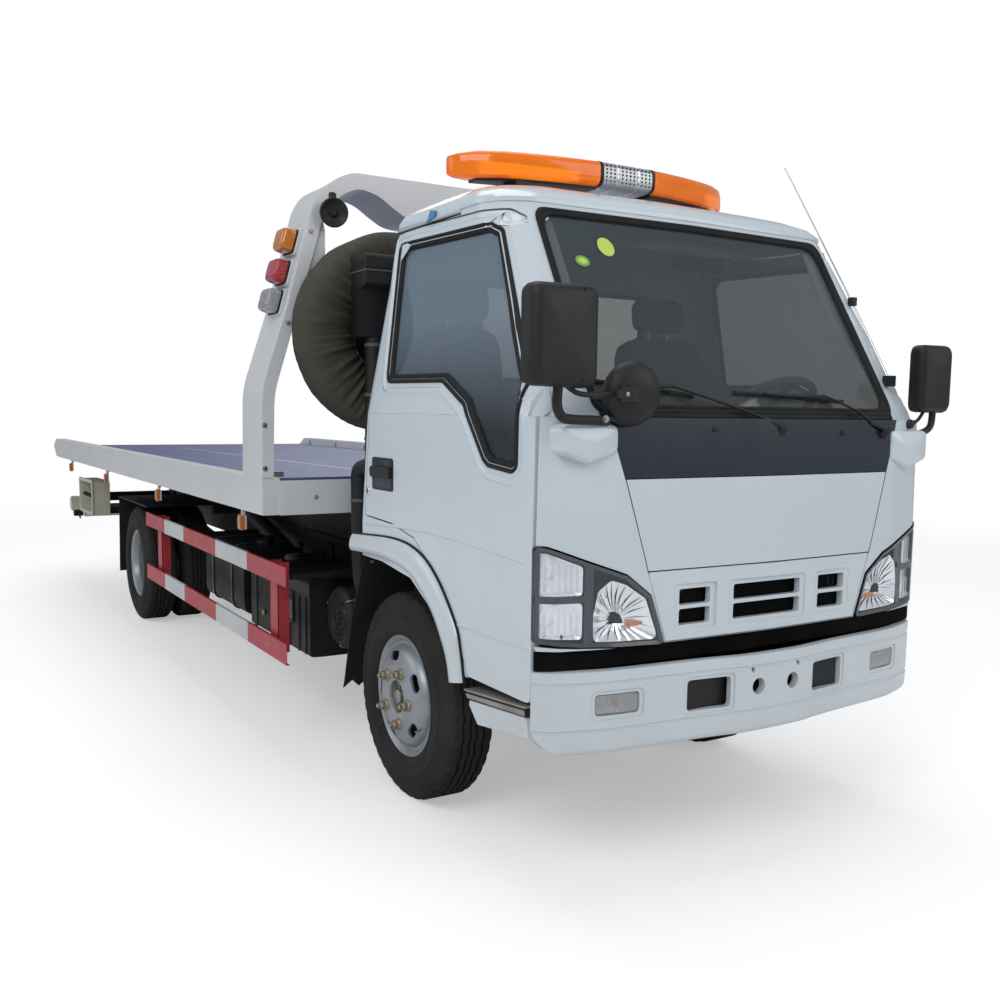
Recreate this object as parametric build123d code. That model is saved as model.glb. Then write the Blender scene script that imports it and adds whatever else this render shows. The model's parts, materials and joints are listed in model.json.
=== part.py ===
from build123d import *
import os
from math import cos, sin, radians, sqrt, atan2, degrees, hypot

# Flatbed tow truck on a light cab-over chassis. Units mm. +X forward, +Y to the left, +Z up,
# ground at z = 0. Stations along the truck are measured from the front axle and moved to the
# frame by X_FRONT_AXLE.

# ---- driving dimensions -------------------------------------------------------------------
LENGTH = 7100
FRONT_OVERHANG = 1110
WHEELBASE = 3815
X_FRONT_AXLE = LENGTH / 2 - FRONT_OVERHANG
X_REAR_AXLE = X_FRONT_AXLE - WHEELBASE

GAP = 6              # running gap round doors and other moving pieces
SEAT = 0.3           # clearance between pieces that rest on each other
FIT = 0.05           # radial clearance of a pin in its bore

TYRE_R = 385
TYRE_W = 204
RIM_R = 206
RIM_FLANGE_R = 226
RIM_W = 165
RIM_WALL = 7
DISC_T = 10
HUB_BORE_R = 75
FRONT_TRACK = 1366
REAR_TRACK = 1426
TWIN_PITCH = 230
WHEEL_OFFSET = TWIN_PITCH / 2   # mounting face of the disc from the middle of the rim
AXLE_Z = TYRE_R

FRAME_HALF = 350     # outer face of a chassis rail
RAIL_W = 60
RAIL_T = 7
RAIL_TOP = 770
RAIL_H = 180
RAIL_FRONT = 960
RAIL_REAR = -5200
RAIL_BOTTOM = RAIL_TOP - RAIL_H

KINGPIN_Y = 560
STEER_MAX = 35

# bed and tilt frame
BED_HALF = 1120
BED_FRONT = -534
BED_TAIL = FRONT_OVERHANG - LENGTH
BED_TOP = 1170
BED_RAIL_H = 146
BED_RAIL_W = 70
BED_TAPER = 132
DECK_T = 5
DECK_TOP = 1112
BED_BOTTOM = BED_TOP - BED_RAIL_H
SILL_H = 108
SILL_W = 60
TILT_H = 138
TILT_PAD = 6
TILT_BOTTOM = RAIL_TOP + TILT_PAD
TILT_TOP = TILT_BOTTOM + TILT_H
TILT_FRONT = -760
PIVOT_X = -5140
PIVOT_Z = TILT_BOTTOM + TILT_H / 2
PIVOT_R = 25
SILL_BOTTOM = TILT_TOP + SEAT
SILL_TOP = SILL_BOTTOM + SILL_H

# cab
CAB_T = 40           # depth of doors and walls
CAB_HALF = 835
ROOF_HALF = CAB_HALF - 87
CAB_REAR = -290
ROOF_CUT = 2100
FLOOR_Z = 905
FLOOR_FRONT_Z = 800
FLOOR_T = 22
CAB_PIVOT_X = 1004
CAB_PIVOT_Z = 738
CAB_PIVOT_R = 12
PIVOT_BOSS_R = 22
LUG_T = 14

os.makedirs("parts", exist_ok=True)
parts = {}


# ---- helpers ------------------------------------------------------------------------------
def X(station):
    """Frame x of a station measured from the front axle."""
    return X_FRONT_AXLE + station


def box(x0, x1, y0, y1, z0, z1):
    return Pos(X((x0 + x1) / 2), (y0 + y1) / 2, (z0 + z1) / 2) * Box(
        abs(x1 - x0), abs(y1 - y0), abs(z1 - z0))


def extrude_points(points, direction):
    face = Face(Wire.make_polygon([Vector(*p) for p in points], close=True))
    return Part() + Solid.extrude(face, Vector(*direction))


def side_prism(outline, y0, y1):
    """Outline of (station, z) pairs, extruded across the truck."""
    return extrude_points([(X(x), y0, z) for x, z in outline], (0, y1 - y0, 0))


def front_prism(outline, x0, x1):
    """Outline of (y, z) pairs, extruded along the truck."""
    return extrude_points([(X(x0), y, z) for y, z in outline], (x1 - x0, 0, 0))


def plan_prism(outline, z0, z1):
    """Outline of (station, y) pairs, extruded upwards."""
    return extrude_points([(X(x), y, z0) for x, y in outline], (0, 0, z1 - z0))


def mirrored(half):
    """Outline of (y, z) or (x, y) closed by its mirror image."""
    return list(half) + [(-a, b) for a, b in reversed(half)]


def cyl(centre, axis, r, length):
    spin = {"x": Rot(0, 90, 0), "y": Rot(90, 0, 0), "z": Rot(0, 0, 0)}[axis]
    return Pos(X(centre[0]), centre[1], centre[2]) * spin * Cylinder(r, length)


def rod(p0, p1, r):
    a = Vector(X(p0[0]), p0[1], p0[2])
    b = Vector(X(p1[0]), p1[1], p1[2])
    plane = Plane(origin=a, z_dir=(b - a))
    return extrude(plane * Circle(r), (b - a).length)


def both(shape):
    """A piece and its mirror image on the other side of the truck."""
    return shape + mirror(shape, Plane.XZ)


def left_of(shape):
    return mirror(shape, Plane.XZ)


def wheel_profile(rows):
    """Closed (radius, width) outline as a face in the XZ plane, for a revolve about X."""
    return Face(Wire.make_polygon([Vector(w, 0, r) for r, w in rows], close=True))


def turned(rows, station, y, z):
    """Solid of revolution about a line along Y; rows hold (radius, offset along Y)."""
    points = [Vector(X(station), y + w, z + r) for r, w in rows]
    face = Face(Wire.make_polygon(points, close=True))
    return Part() + revolve(face, Axis((X(station), y, z), (0, 1, 0)), 360)


# ---- wheels -------------------------------------------------------------------------------
# tyre section: radius, half width
TYRE_SECTION = (
    (RIM_R + SEAT, RIM_W / 2 - 14 - SEAT),
    (RIM_FLANGE_R + SEAT, RIM_W / 2 - RIM_WALL - SEAT),
    (RIM_FLANGE_R + 2, RIM_W / 2 + 2),
    (RIM_FLANGE_R + 50, TYRE_W / 2),
    (TYRE_R - 34, TYRE_W / 2 - 8),
    (TYRE_R - 6, TYRE_W / 2 - 28),
    (TYRE_R, TYRE_W / 2 - 36),
)


def tyre(station, y):
    rows = [(r, w) for r, w in TYRE_SECTION]
    rows = [(r, -w) for r, w in rows] + [(r, w) for r, w in reversed(rows)]
    return turned(rows, station, y, AXLE_Z)


def rim(station, y, dish):
    """Steel rim with its disc; dish is the disc's offset along Y, signed."""
    half = RIM_W / 2
    barrel = turned((
        (RIM_FLANGE_R, -half),
        (RIM_FLANGE_R, -half + RIM_WALL),
        (RIM_R, -half + 14),
        (RIM_R - 14, 0),
        (RIM_R, half - 14),
        (RIM_FLANGE_R, half - RIM_WALL),
        (RIM_FLANGE_R, half),
        (RIM_R - RIM_WALL, half - 6),
        (RIM_R - 14 - RIM_WALL, 0),
        (RIM_R - RIM_WALL, -half + 6),
    ), station, y, AXLE_Z)
    s = 1 if dish >= 0 else -1
    disc = turned((
        (RIM_R - 14 - RIM_WALL + 2, s * 4),
        (RIM_R - 14 - RIM_WALL + 2, s * 4 + s * DISC_T),
        (150, dish * 0.55 + s * DISC_T),
        (122, dish),
        (HUB_BORE_R, dish),
        (HUB_BORE_R, dish - s * DISC_T),
        (126, dish - s * DISC_T),
        (156, dish * 0.55 - s * 2),
    ), station, y, AXLE_Z)
    return barrel + disc


y_front = FRONT_TRACK / 2
y_outer = REAR_TRACK / 2 + TWIN_PITCH / 2
y_inner = REAR_TRACK / 2 - TWIN_PITCH / 2
DISC_MID = 0.55 * WHEEL_OFFSET
HUB_WALL_R = 118
DRUM_R = 158
SPINDLE_R = 40


def hub_rows(y_mid, y_start, bore_r, bore_end, y_cap):
    """Brake drum and hub up to the disc's mounting face, with a blind bore for its spindle."""
    face = y_mid + WHEEL_OFFSET - DISC_T + 1
    return ((bore_r, y_start), (DRUM_R, y_start), (DRUM_R, y_mid + DISC_MID - 14),
            (HUB_WALL_R, y_mid + DISC_MID - 4), (HUB_WALL_R, face), (HUB_BORE_R + 1, face),
            (HUB_BORE_R + 1, y_cap), (48, y_cap + 14), (0, y_cap + 14), (0, bore_end),
            (bore_r, bore_end))


front_wheel = rim(0, y_front, WHEEL_OFFSET)
SWIVEL_FACE = KINGPIN_Y + 66
hub_start = SWIVEL_FACE + GAP
front_wheel += turned(hub_rows(y_front, hub_start, 28 + FIT, SWIVEL_FACE + 78 + GAP,
                               y_front + WHEEL_OFFSET + 12), 0, 0, AXLE_Z)
parts["wheel_front_left"] = front_wheel
parts["wheel_front_right"] = left_of(front_wheel)
front_tyre_left = tyre(0, y_front)
parts["tyre_front_left"] = front_tyre_left
parts["tyre_front_right"] = left_of(front_tyre_left)

rear_wheels = rim(-WHEELBASE, y_outer, -WHEEL_OFFSET) + rim(-WHEELBASE, y_inner, WHEEL_OFFSET)
rear_hub_start = y_inner - 40
rear_wheels += turned(hub_rows(y_inner, rear_hub_start, SPINDLE_R + FIT, y_inner + 60,
                               y_outer - WHEEL_OFFSET + 60), -WHEELBASE, 0, AXLE_Z)
parts["wheels_rear_left"] = rear_wheels
parts["wheels_rear_right"] = left_of(rear_wheels)
rear_tyres_left = tyre(-WHEELBASE, y_outer) + tyre(-WHEELBASE, y_inner)
parts["tyres_rear_left"] = rear_tyres_left
parts["tyres_rear_right"] = left_of(rear_tyres_left)

# ---- chassis frame ------------------------------------------------------------------------
rail_outer = box(RAIL_REAR, RAIL_FRONT, FRAME_HALF - RAIL_W, FRAME_HALF, RAIL_BOTTOM, RAIL_TOP)
rail_inner = box(RAIL_REAR - 1, RAIL_FRONT + 1, FRAME_HALF - RAIL_W - 1, FRAME_HALF - RAIL_T,
                 RAIL_BOTTOM + RAIL_T, RAIL_TOP - RAIL_T)
frame = both(rail_outer - rail_inner)
CROSSMEMBERS = (880, -900, -1750, -2900, -3815, -4500, -5150)
for station in CROSSMEMBERS:
    frame += box(station - 35, station + 35, -FRAME_HALF + RAIL_T, FRAME_HALF - RAIL_T,
                 RAIL_BOTTOM + 40, RAIL_TOP - 40)

# ---- front axle, springs, knuckles --------------------------------------------------------
BEAM_H = 70
BEAM_W = 56
BEAM_Z = AXLE_Z - 20
SPRING_Y0 = FRAME_HALF - 70
SPRING_PIVOT_R = 15
KINGPIN_R = 16
YOKE_H = 150
beam = box(-BEAM_W / 2, BEAM_W / 2, -KINGPIN_Y + 45, KINGPIN_Y - 45, BEAM_Z - BEAM_H / 2,
           BEAM_Z + BEAM_H / 2)
beam += both(cyl((0, KINGPIN_Y, AXLE_Z), "z", 36, YOKE_H - 70)
             + box(-28, 28, KINGPIN_Y - 60, KINGPIN_Y - 5, AXLE_Z - 38, AXLE_Z + 38))
beam -= both(cyl((0, KINGPIN_Y, AXLE_Z), "z", KINGPIN_R + FIT, YOKE_H))
parts["front_axle"] = beam

knuckle = cyl((0, KINGPIN_Y, AXLE_Z), "z", KINGPIN_R, YOKE_H - 10)
for side in (-1, 1):
    knuckle += cyl((0, KINGPIN_Y, AXLE_Z + side * (YOKE_H / 2 - 12.5)), "z", 32, 25)
knuckle += box(-30, 30, KINGPIN_Y + 36 + GAP, KINGPIN_Y + 66, AXLE_Z - YOKE_H / 2,
               AXLE_Z + YOKE_H / 2)
for side in (-1, 1):
    knuckle += box(-26, 26, KINGPIN_Y, KINGPIN_Y + 50,
                   AXLE_Z + side * (YOKE_H / 2 - 12.5) - 12.5,
                   AXLE_Z + side * (YOKE_H / 2 - 12.5) + 12.5)
knuckle += cyl((0, SWIVEL_FACE + 39, AXLE_Z), "y", 28, 78)
knuckle += cyl((0, SWIVEL_FACE - 6, AXLE_Z), "y", DRUM_R + 6, 8)
parts["knuckle_left"] = knuckle
parts["knuckle_right"] = left_of(knuckle)

# leaf springs: name, station of the axle, half length, height of the seat, height of the eyes
springs = Part()
SPRINGS = (
    ("front_springs", 0, 520, BEAM_Z + BEAM_H / 2, 520),
    ("rear_springs", -WHEELBASE, 600, AXLE_Z + 62, 545),
)
for name, station, half, seat_z, eye_z in SPRINGS:
    leaf = side_prism((
        (station - half, eye_z + 8), (station - 200, seat_z + 62), (station - 60, seat_z + 50),
        (station + 60, seat_z + 50), (station + 200, seat_z + 62), (station + half, eye_z + 8),
        (station + half, eye_z - 8), (station + 260, seat_z + 34), (station + 60, seat_z),
        (station - 60, seat_z), (station - 260, seat_z + 34), (station - half, eye_z - 8),
    ), SPRING_Y0, FRAME_HALF)
    for end in (-1, 1):
        eye = station + end * half
        leaf += cyl((eye, (SPRING_Y0 + FRAME_HALF) / 2, eye_z), "y", 24, FRAME_HALF - SPRING_Y0)
        leaf += box(eye - 20, eye + 20, SPRING_Y0 + 8, FRAME_HALF - 8, eye_z, RAIL_BOTTOM)
    springs += both(leaf)
parts["springs"] = springs

axle_rear = cyl((-WHEELBASE, 0, AXLE_Z), "y", 62, 2 * (rear_hub_start - GAP))
axle_rear += cyl((-WHEELBASE, 0, AXLE_Z), "y", SPINDLE_R, 2 * (y_inner + 55))
axle_rear += Pos(X(-WHEELBASE), 0, AXLE_Z) * Sphere(172)

# ---- engine, driveline, exhaust -----------------------------------------------------------
parts["engine"] = box(-150, 620, -270, 270, 480, 1060) - box(-151, 621, 225, 300, 400, 800) \
    - box(-151, 621, -300, -225, 400, 800)
GEARBOX_REAR = -820
gearbox = front_prism(mirrored(((150, 520), (190, 640), (150, 760))), GEARBOX_REAR, -150)
shaft = rod((GEARBOX_REAR + 2, 0, 585), (-WHEELBASE + 120, 0, AXLE_Z + 40), 42)
parts["driveline"] = gearbox + shaft + axle_rear
SILENCER = (-940, 450, 470)
SILENCER_R = 88
PIPE_R = 28
exhaust = cyl(SILENCER, "x", SILENCER_R, 460)
# pipe corners, from the engine to the silencer and from the silencer to the side
PIPES = (
    ((-150, 196, 550), (-620, 232, 548), (-670, 430, 500), (-720, 450, 470)),
    ((-1160, 450, 430), (-1190, 470, 350), (-1195, 800, 346)),
)
for corners in PIPES:
    for p0, p1 in zip(corners[:-1], corners[1:]):
        exhaust += rod(p0, p1, PIPE_R)
    for p in corners[1:-1]:
        exhaust += Pos(X(p[0]), p[1], p[2]) * Sphere(PIPE_R)
for station in (-820, -1060):
    exhaust += box(station - 15, station + 15, FRAME_HALF, 400, RAIL_BOTTOM - 60,
                   RAIL_BOTTOM + 60)
parts["exhaust"] = exhaust - parts["engine"]

# ---- boxes and tanks under the bed --------------------------------------------------------
# name, front station, rear station, stations of the two arms, inner y, outer y, bottom, top, side
BOXES = (
    ("battery_box", -713, -1090, -773, -1030, 500, 860, 383, 714, -1),
    ("fuel_tank", -1658, -2350, -1860, -2200, 530, 850, 400, 735, -1),
    ("tool_box", -1240, -1720, -1300, -1650, 560, 900, 400, 740, 1),
)
ARM_Z = 420
ARM_H = 40
for name, x_front, x_rear, arm_0, arm_1, y0, y1, z0, z1, side in BOXES:
    body = box(x_rear, x_front, y0, y1, z0, z1)
    body = fillet(body.edges().filter_by(Axis.X), 34)
    for station in (arm_0, arm_1):
        body += box(station - 25, station + 25, FRAME_HALF + 12, y0 + 4, ARM_Z, ARM_Z + ARM_H)
        body += box(station - 25, station + 25, FRAME_HALF, FRAME_HALF + 12, ARM_Z,
                    RAIL_BOTTOM + 90)
    parts[name] = body if side > 0 else left_of(body)

AIR_R = 124
AIR_X = -564
AIR_Y0 = 429
AIR_Y1 = 795
AIR_Z = 585
air = cyl((AIR_X, -(AIR_Y0 + AIR_Y1) / 2, AIR_Z), "y", AIR_R, AIR_Y1 - AIR_Y0)
air -= cyl((AIR_X, -AIR_Y1, AIR_Z), "y", AIR_R - 16, 16)
air += cyl((AIR_X, -AIR_Y1 + 8, AIR_Z), "y", AIR_R - 50, 30)
air += box(AIR_X - 30, AIR_X + 30, -AIR_Y0 - 4, -FRAME_HALF, AIR_Z + 20, AIR_Z + 100)
# intake duct up the back of the cab: station range, y range, z range
DUCT = (
    (-335, -274, -790, -706, 1176, 1960),
    (-335, -196, -826, -680, 1905, 2020),
    (-480, -335, -790, -706, 1176, 1250),
    (-480, -414, -780, -716, 660, 1250),
)
for x0, x1, y0, y1, z0, z1 in DUCT:
    air += box(x0, x1, y0, y1, z0, z1)
parts["air_intake"] = air

# ---- spare wheel on its carrier behind the cab --------------------------------------------
SPARE_R = 392
SPARE_W = 180
SPARE_X = BED_FRONT + 14 + SPARE_W / 2
SPARE_Y = -610
SPARE_Z = 1745
SPARE_RECESS = 60
spare = cyl((SPARE_X, SPARE_Y, SPARE_Z), "x", SPARE_R, SPARE_W)
spare = fillet(spare.edges(), 60)
spare -= cyl((SPARE_X + SPARE_W / 2, SPARE_Y, SPARE_Z), "x", 150, 2 * SPARE_RECESS)
parts["spare_wheel"] = spare
spare_face = SPARE_X + SPARE_W / 2
CARRIER_T = 24
carrier_x = spare_face + GAP
carrier = box(carrier_x, carrier_x + CARRIER_T, -536, -460, RAIL_TOP - 60, SPARE_Z + 60)
carrier += box(carrier_x, carrier_x + CARRIER_T, SPARE_Y - 70, -460, SPARE_Z - 60,
               SPARE_Z + 60)
carrier += box(carrier_x, carrier_x + CARRIER_T, -536, -FRAME_HALF + RAIL_T, RAIL_TOP - 60,
               RAIL_TOP - 10)
hub_end = spare_face - SPARE_RECESS + SEAT
carrier += cyl(((hub_end + carrier_x + 2) / 2, SPARE_Y, SPARE_Z), "x", 60,
               carrier_x + 2 - hub_end)
frame += carrier

# ---- side guards --------------------------------------------------------------------------
GUARD_Y = 1060
GUARD_T = 26
GUARD_FRONT = -448
GUARD_REAR = -2863
GUARD_BARS = ((747, 825), (434, 518))
GUARD_POSTS = ((-585, 742), (-2640, 692))   # station, bottom of the arm to the chassis
guard = Part()
for z0, z1 in GUARD_BARS:
    guard += box(GUARD_REAR, GUARD_FRONT, GUARD_Y - GUARD_T, GUARD_Y, z0, z1)
for station, arm_z in GUARD_POSTS:
    guard += box(station - 45, station + 45, GUARD_Y - GUARD_T - 50, GUARD_Y - GUARD_T,
                 GUARD_BARS[1][0] + 10, GUARD_BARS[0][1] - 5)
    guard += box(station - 25, station + 25, FRAME_HALF, GUARD_Y - GUARD_T - 50, arm_z,
                 arm_z + 22)
parts["side_guards"] = both(guard)

# ---- mudguards, flaps, rear bar -----------------------------------------------------------
flap = side_prism(((-306, 872), (-316, 876), (-524, 326), (-514, 322)), 545, 786)
flap += box(-370, -352, FRAME_HALF, 560, 740, 765)
REAR_FENDER_Z = TYRE_R * 2 + 30
fender = box(-WHEELBASE - 470, -WHEELBASE + 420, 480, 940, REAR_FENDER_Z, REAR_FENDER_Z + 8)
FENDER_REAR = -WHEELBASE - 470
fender += side_prism(((FENDER_REAR, REAR_FENDER_Z), (FENDER_REAR + 8, REAR_FENDER_Z),
                      (FENDER_REAR - 32, 262), (FENDER_REAR - 40, 262)), 490, 935)
for station in (-WHEELBASE - 430, -WHEELBASE + 380):
    fender += box(station - 20, station + 20, FRAME_HALF, 500, REAR_FENDER_Z - 60,
                  REAR_FENDER_Z)
parts["mudguards"] = both(flap + fender)

REAR_BAR_X = RAIL_REAR - 44
REAR_BAR_Z = RAIL_TOP - 76
REAR_BAR_H = 66
frame += box(REAR_BAR_X - 30, REAR_BAR_X + 30, -980, 980, REAR_BAR_Z, REAR_BAR_Z + REAR_BAR_H)
frame += both(box(REAR_BAR_X, RAIL_REAR, FRAME_HALF - RAIL_T, FRAME_HALF, REAR_BAR_Z,
                  REAR_BAR_Z + REAR_BAR_H))
lamps = Part()
for y in (560, 700, 840):
    lamps += box(REAR_BAR_X - 60, REAR_BAR_X - 30, y - 62, y + 62, REAR_BAR_Z, REAR_BAR_Z + 64)
tail_lamps = both(lamps)

# control box with levers at the right rear, open to the side
CONTROL_X0 = -5180
CONTROL_X1 = -4665
control = box(CONTROL_X0, CONTROL_X1, -1050, -926, 636, 884)
control -= box(CONTROL_X0 + 6, CONTROL_X1 - 6, -1060, -932, 642, 878)
for n in range(4):
    x = CONTROL_X0 + 130 + n * 85
    control += cyl((x, -975, 740), "y", 9, 90)
control += box(PIVOT_X + 110, CONTROL_X1 - 40, -940, -FRAME_HALF, 640, 690)
parts["control_box"] = control

# ---- pivot brackets of the bed, cylinder brackets on the chassis --------------------------
CYL_Y = 450
CYL_R = 45
ROD_R = 24
CYL_BASE = (-1750, 560)
CYL_EYE = (-3050, TILT_BOTTOM + 92)
EYE_W = 48
EYE_BOSS_R = 30
brackets = side_prism(((RAIL_REAR + 2, RAIL_BOTTOM + 20), (PIVOT_X + 90, RAIL_BOTTOM + 20),
                       (PIVOT_X + 90, RAIL_TOP), (PIVOT_X + 45, PIVOT_Z + 45),
                       (PIVOT_X - 45, PIVOT_Z + 45), (RAIL_REAR + 2, RAIL_TOP)),
                      FRAME_HALF, FRAME_HALF + 16)
brackets -= cyl((PIVOT_X, FRAME_HALF + 8, PIVOT_Z), "y", PIVOT_R + FIT, 60)
base = box(CYL_BASE[0] - 50, CYL_BASE[0] + 50, FRAME_HALF, FRAME_HALF + 12,
           CYL_BASE[1] - 40, RAIL_TOP - 40)
base += cyl((CYL_BASE[0], (FRAME_HALF + CYL_Y + 40) / 2, CYL_BASE[1]), "y", 20,
            CYL_Y + 40 - FRAME_HALF)
frame += both(brackets + base)

# ---- tilt frame ---------------------------------------------------------------------------
end_r = TILT_H / 2
tilt_rail = box(PIVOT_X, TILT_FRONT, FRAME_HALF - SILL_W, FRAME_HALF - SEAT, TILT_BOTTOM,
                TILT_TOP)
tilt_rail += cyl((PIVOT_X, FRAME_HALF - SILL_W / 2 - SEAT / 2, PIVOT_Z), "y", end_r,
                 SILL_W - SEAT)
tilt_rail -= box(PIVOT_X + 140, TILT_FRONT - 8, FRAME_HALF - SILL_W + 6, FRAME_HALF - SEAT - 6,
                 TILT_BOTTOM + 6, TILT_TOP - 6)
tilt_rail += cyl((PIVOT_X, FRAME_HALF, PIVOT_Z), "y", PIVOT_R, 70)
tilt_frame = both(tilt_rail)
for station in (-800, -1600, -2400, -3200, -4000, -4800):
    tilt_frame += box(station - 30, station + 30, -(FRAME_HALF - SILL_W), FRAME_HALF - SILL_W,
                      TILT_BOTTOM + 20, TILT_TOP - 20)
eye_bracket = box(CYL_EYE[0] - 45, CYL_EYE[0] + 45, FRAME_HALF - SEAT, FRAME_HALF + 12,
                  TILT_BOTTOM + 8, TILT_TOP - 4)
eye_boss = CYL_Y - EYE_W / 2 - GAP
eye_bracket += cyl((CYL_EYE[0], (FRAME_HALF + eye_boss) / 2, CYL_EYE[1]), "y", EYE_BOSS_R,
                   eye_boss - FRAME_HALF)
tilt_frame += both(eye_bracket)
parts["tilt_frame"] = tilt_frame
for station in (-1100, -2200, -3300, -4400):
    frame += both(box(station - 60, station + 60, FRAME_HALF - RAIL_W + 4, FRAME_HALF - 4,
                     RAIL_TOP, RAIL_TOP + TILT_PAD - SEAT))

# ---- tilt cylinders -----------------------------------------------------------------------
cyl_len = hypot(CYL_EYE[0] - CYL_BASE[0], CYL_EYE[1] - CYL_BASE[1])
ux = (CYL_EYE[0] - CYL_BASE[0]) / cyl_len
uz = (CYL_EYE[1] - CYL_BASE[1]) / cyl_len


def on_cyl(d):
    return (CYL_BASE[0] + ux * d, CYL_Y, CYL_BASE[1] + uz * d)


BARREL_END = 1040
barrel = rod(on_cyl(36), on_cyl(BARREL_END), CYL_R)
barrel += cyl((CYL_BASE[0], CYL_Y, CYL_BASE[1]), "y", 40, 52)
barrel -= cyl((CYL_BASE[0], CYL_Y, CYL_BASE[1]), "y", 20 + FIT, 60)
barrel -= rod(on_cyl(380), on_cyl(BARREL_END + 1), ROD_R + FIT)
parts["tilt_barrels"] = both(barrel)
ram = rod(on_cyl(420), on_cyl(cyl_len - 30), ROD_R)
ram += cyl((CYL_EYE[0], CYL_Y, CYL_EYE[1]), "y", 36, EYE_W)
ram += cyl((CYL_EYE[0], CYL_Y + EYE_W / 2, CYL_EYE[1]), "y", 18, 20)
parts["tilt_rams"] = both(ram)

# ---- bed ----------------------------------------------------------------------------------
SILL_REAR = -5540
sill = side_prism(((BED_FRONT - 40, SILL_BOTTOM), (SILL_REAR, SILL_BOTTOM),
                   (BED_TAIL + BED_TAPER + 20, SILL_TOP - 20),
                   (BED_TAIL + BED_TAPER + 20, SILL_TOP), (BED_FRONT - 40, SILL_TOP)),
                  FRAME_HALF - SILL_W, FRAME_HALF)
bed_frame = both(sill)
CROSS_PITCH = 520
n_cross = int((BED_FRONT - BED_TAIL - 500) / CROSS_PITCH) + 1
for n in range(n_cross):
    station = BED_FRONT - 120 - n * CROSS_PITCH
    bed_frame += box(station - 25, station + 25, -BED_HALF + BED_RAIL_W, BED_HALF - BED_RAIL_W,
                     SILL_TOP, DECK_TOP - DECK_T)
parts["bed_frame"] = bed_frame
deck = box(BED_TAIL + 30, BED_FRONT, -BED_HALF + BED_RAIL_W, BED_HALF - BED_RAIL_W,
           DECK_TOP - DECK_T, DECK_TOP)
deck += box(BED_TAIL + 20, BED_TAIL + 90, -BED_HALF + BED_RAIL_W, BED_HALF - BED_RAIL_W,
            DECK_TOP - 60, DECK_TOP - DECK_T)
parts["bed_deck"] = deck
side_rail = side_prism(((BED_FRONT, BED_BOTTOM), (BED_FRONT, BED_TOP),
                        (BED_TAIL + BED_TAPER, BED_TOP), (BED_TAIL, BED_TOP - 62),
                        (BED_TAIL + BED_TAPER, BED_BOTTOM)),
                       BED_HALF - BED_RAIL_W, BED_HALF)
parts["bed_rails"] = both(side_rail)
parts["bed_deck"] += box(BED_FRONT - 60, BED_FRONT, -BED_HALF + BED_RAIL_W,
                             BED_HALF - BED_RAIL_W, DECK_TOP, BED_TOP)

# marker lamps hanging under the bed rails
MARKERS = (-854, -2345, -3804, -5219)
markers = Part()
for station in MARKERS:
    markers += box(station - 22, station + 22, BED_HALF - 26, BED_HALF - 8, BED_BOTTOM - 24,
                   BED_BOTTOM)
    markers += box(station - 30, station + 30, BED_HALF - 34, BED_HALF - 4, BED_BOTTOM - 84,
                   BED_BOTTOM - 24)
bed_lamps = both(markers)

# portal: half outline as (y, z) of the outer and the inner edge
PORTAL_DEPTH = 250
PORTAL_T = 5
PORTAL_OUT = ((BED_HALF, BED_TOP), (BED_HALF - 4, 1518), (BED_HALF - 111, 1847),
              (BED_HALF - 218, 2243), (BED_HALF - 256, 2305), (BED_HALF - 323, 2352),
              (BED_HALF - 384, 2378))
PORTAL_IN = ((BED_HALF - 46, BED_TOP), (BED_HALF - 53, 1500), (BED_HALF - 156, 1840),
             (BED_HALF - 259, 2195), (BED_HALF - 323, 2278), (BED_HALF - 410, 2322),
             (BED_HALF - 496, 2302), (565, 2263), (500, 2225), (440, 2215))
outline = list(PORTAL_OUT) + [(-y, z) for y, z in reversed(PORTAL_OUT)]
outline += [(-y, z) for y, z in PORTAL_IN] + list(reversed(PORTAL_IN))
portal = front_prism(outline, BED_FRONT - PORTAL_DEPTH, BED_FRONT)
gusset = front_prism([(BED_HALF - inset, z) for inset, z in (
    (271, 2144), (259, 2195), (156, 1840), (180, 1860), (271, 1990))],
    BED_FRONT - PORTAL_DEPTH, BED_FRONT - 12)
portal = portal + both(gusset)
parts["portal"] = portal
# lamps on the legs: distance down the leg, depth station
portal_lamps = Part()
LEG_LAMPS = ((2100, BED_HALF - 124), (1965, BED_HALF - 88), (1850, BED_HALF - 58))
for z, y in LEG_LAMPS:
    portal_lamps += box(BED_FRONT - 200, BED_FRONT - 80, y - 70, y + 16, z - 55, z + 55)
WORK_LAMP = (BED_FRONT + 30, BED_HALF - 292, 2192)
work = cyl(WORK_LAMP, "x", 55, 44)
work += box(BED_FRONT, WORK_LAMP[0], WORK_LAMP[1] - 12, WORK_LAMP[1] + 12, WORK_LAMP[2] + 40,
            WORK_LAMP[2] + 110)
parts["bed_lamps"] = bed_lamps + (both(portal_lamps) - portal) + both(work)

# winch at the head of the bed, on a doubling plate
WINCH_X = BED_FRONT - 60 - 100
WINCH_PLATE_T = 4
WINCH_Z = DECK_TOP + WINCH_PLATE_T
parts["bed_deck"] += box(WINCH_X - 130, BED_FRONT - 60, -BED_HALF + BED_RAIL_W,
                         BED_HALF - BED_RAIL_W, DECK_TOP, WINCH_Z)
winch = Part()
for y in (-200, 200):
    winch += box(WINCH_X - 90, WINCH_X + 90, y - 12, y + 12, WINCH_Z, WINCH_Z + 210)
winch += box(WINCH_X - 90, WINCH_X + 90, -300, -212, WINCH_Z, WINCH_Z + 180)
for y in (-200, 200):
    winch -= cyl((WINCH_X, y, WINCH_Z + 110), "y", 22 + FIT, 200)
parts["winch_frame"] = winch
drum = turned(((0, -196), (22, -196), (22, -180), (85, -180), (85, -170), (50, -170), (50, 170),
               (85, 170), (85, 180), (22, 180), (22, 210), (0, 210)), WINCH_X, 0, WINCH_Z + 110)
parts["winch_drum"] = drum

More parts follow.
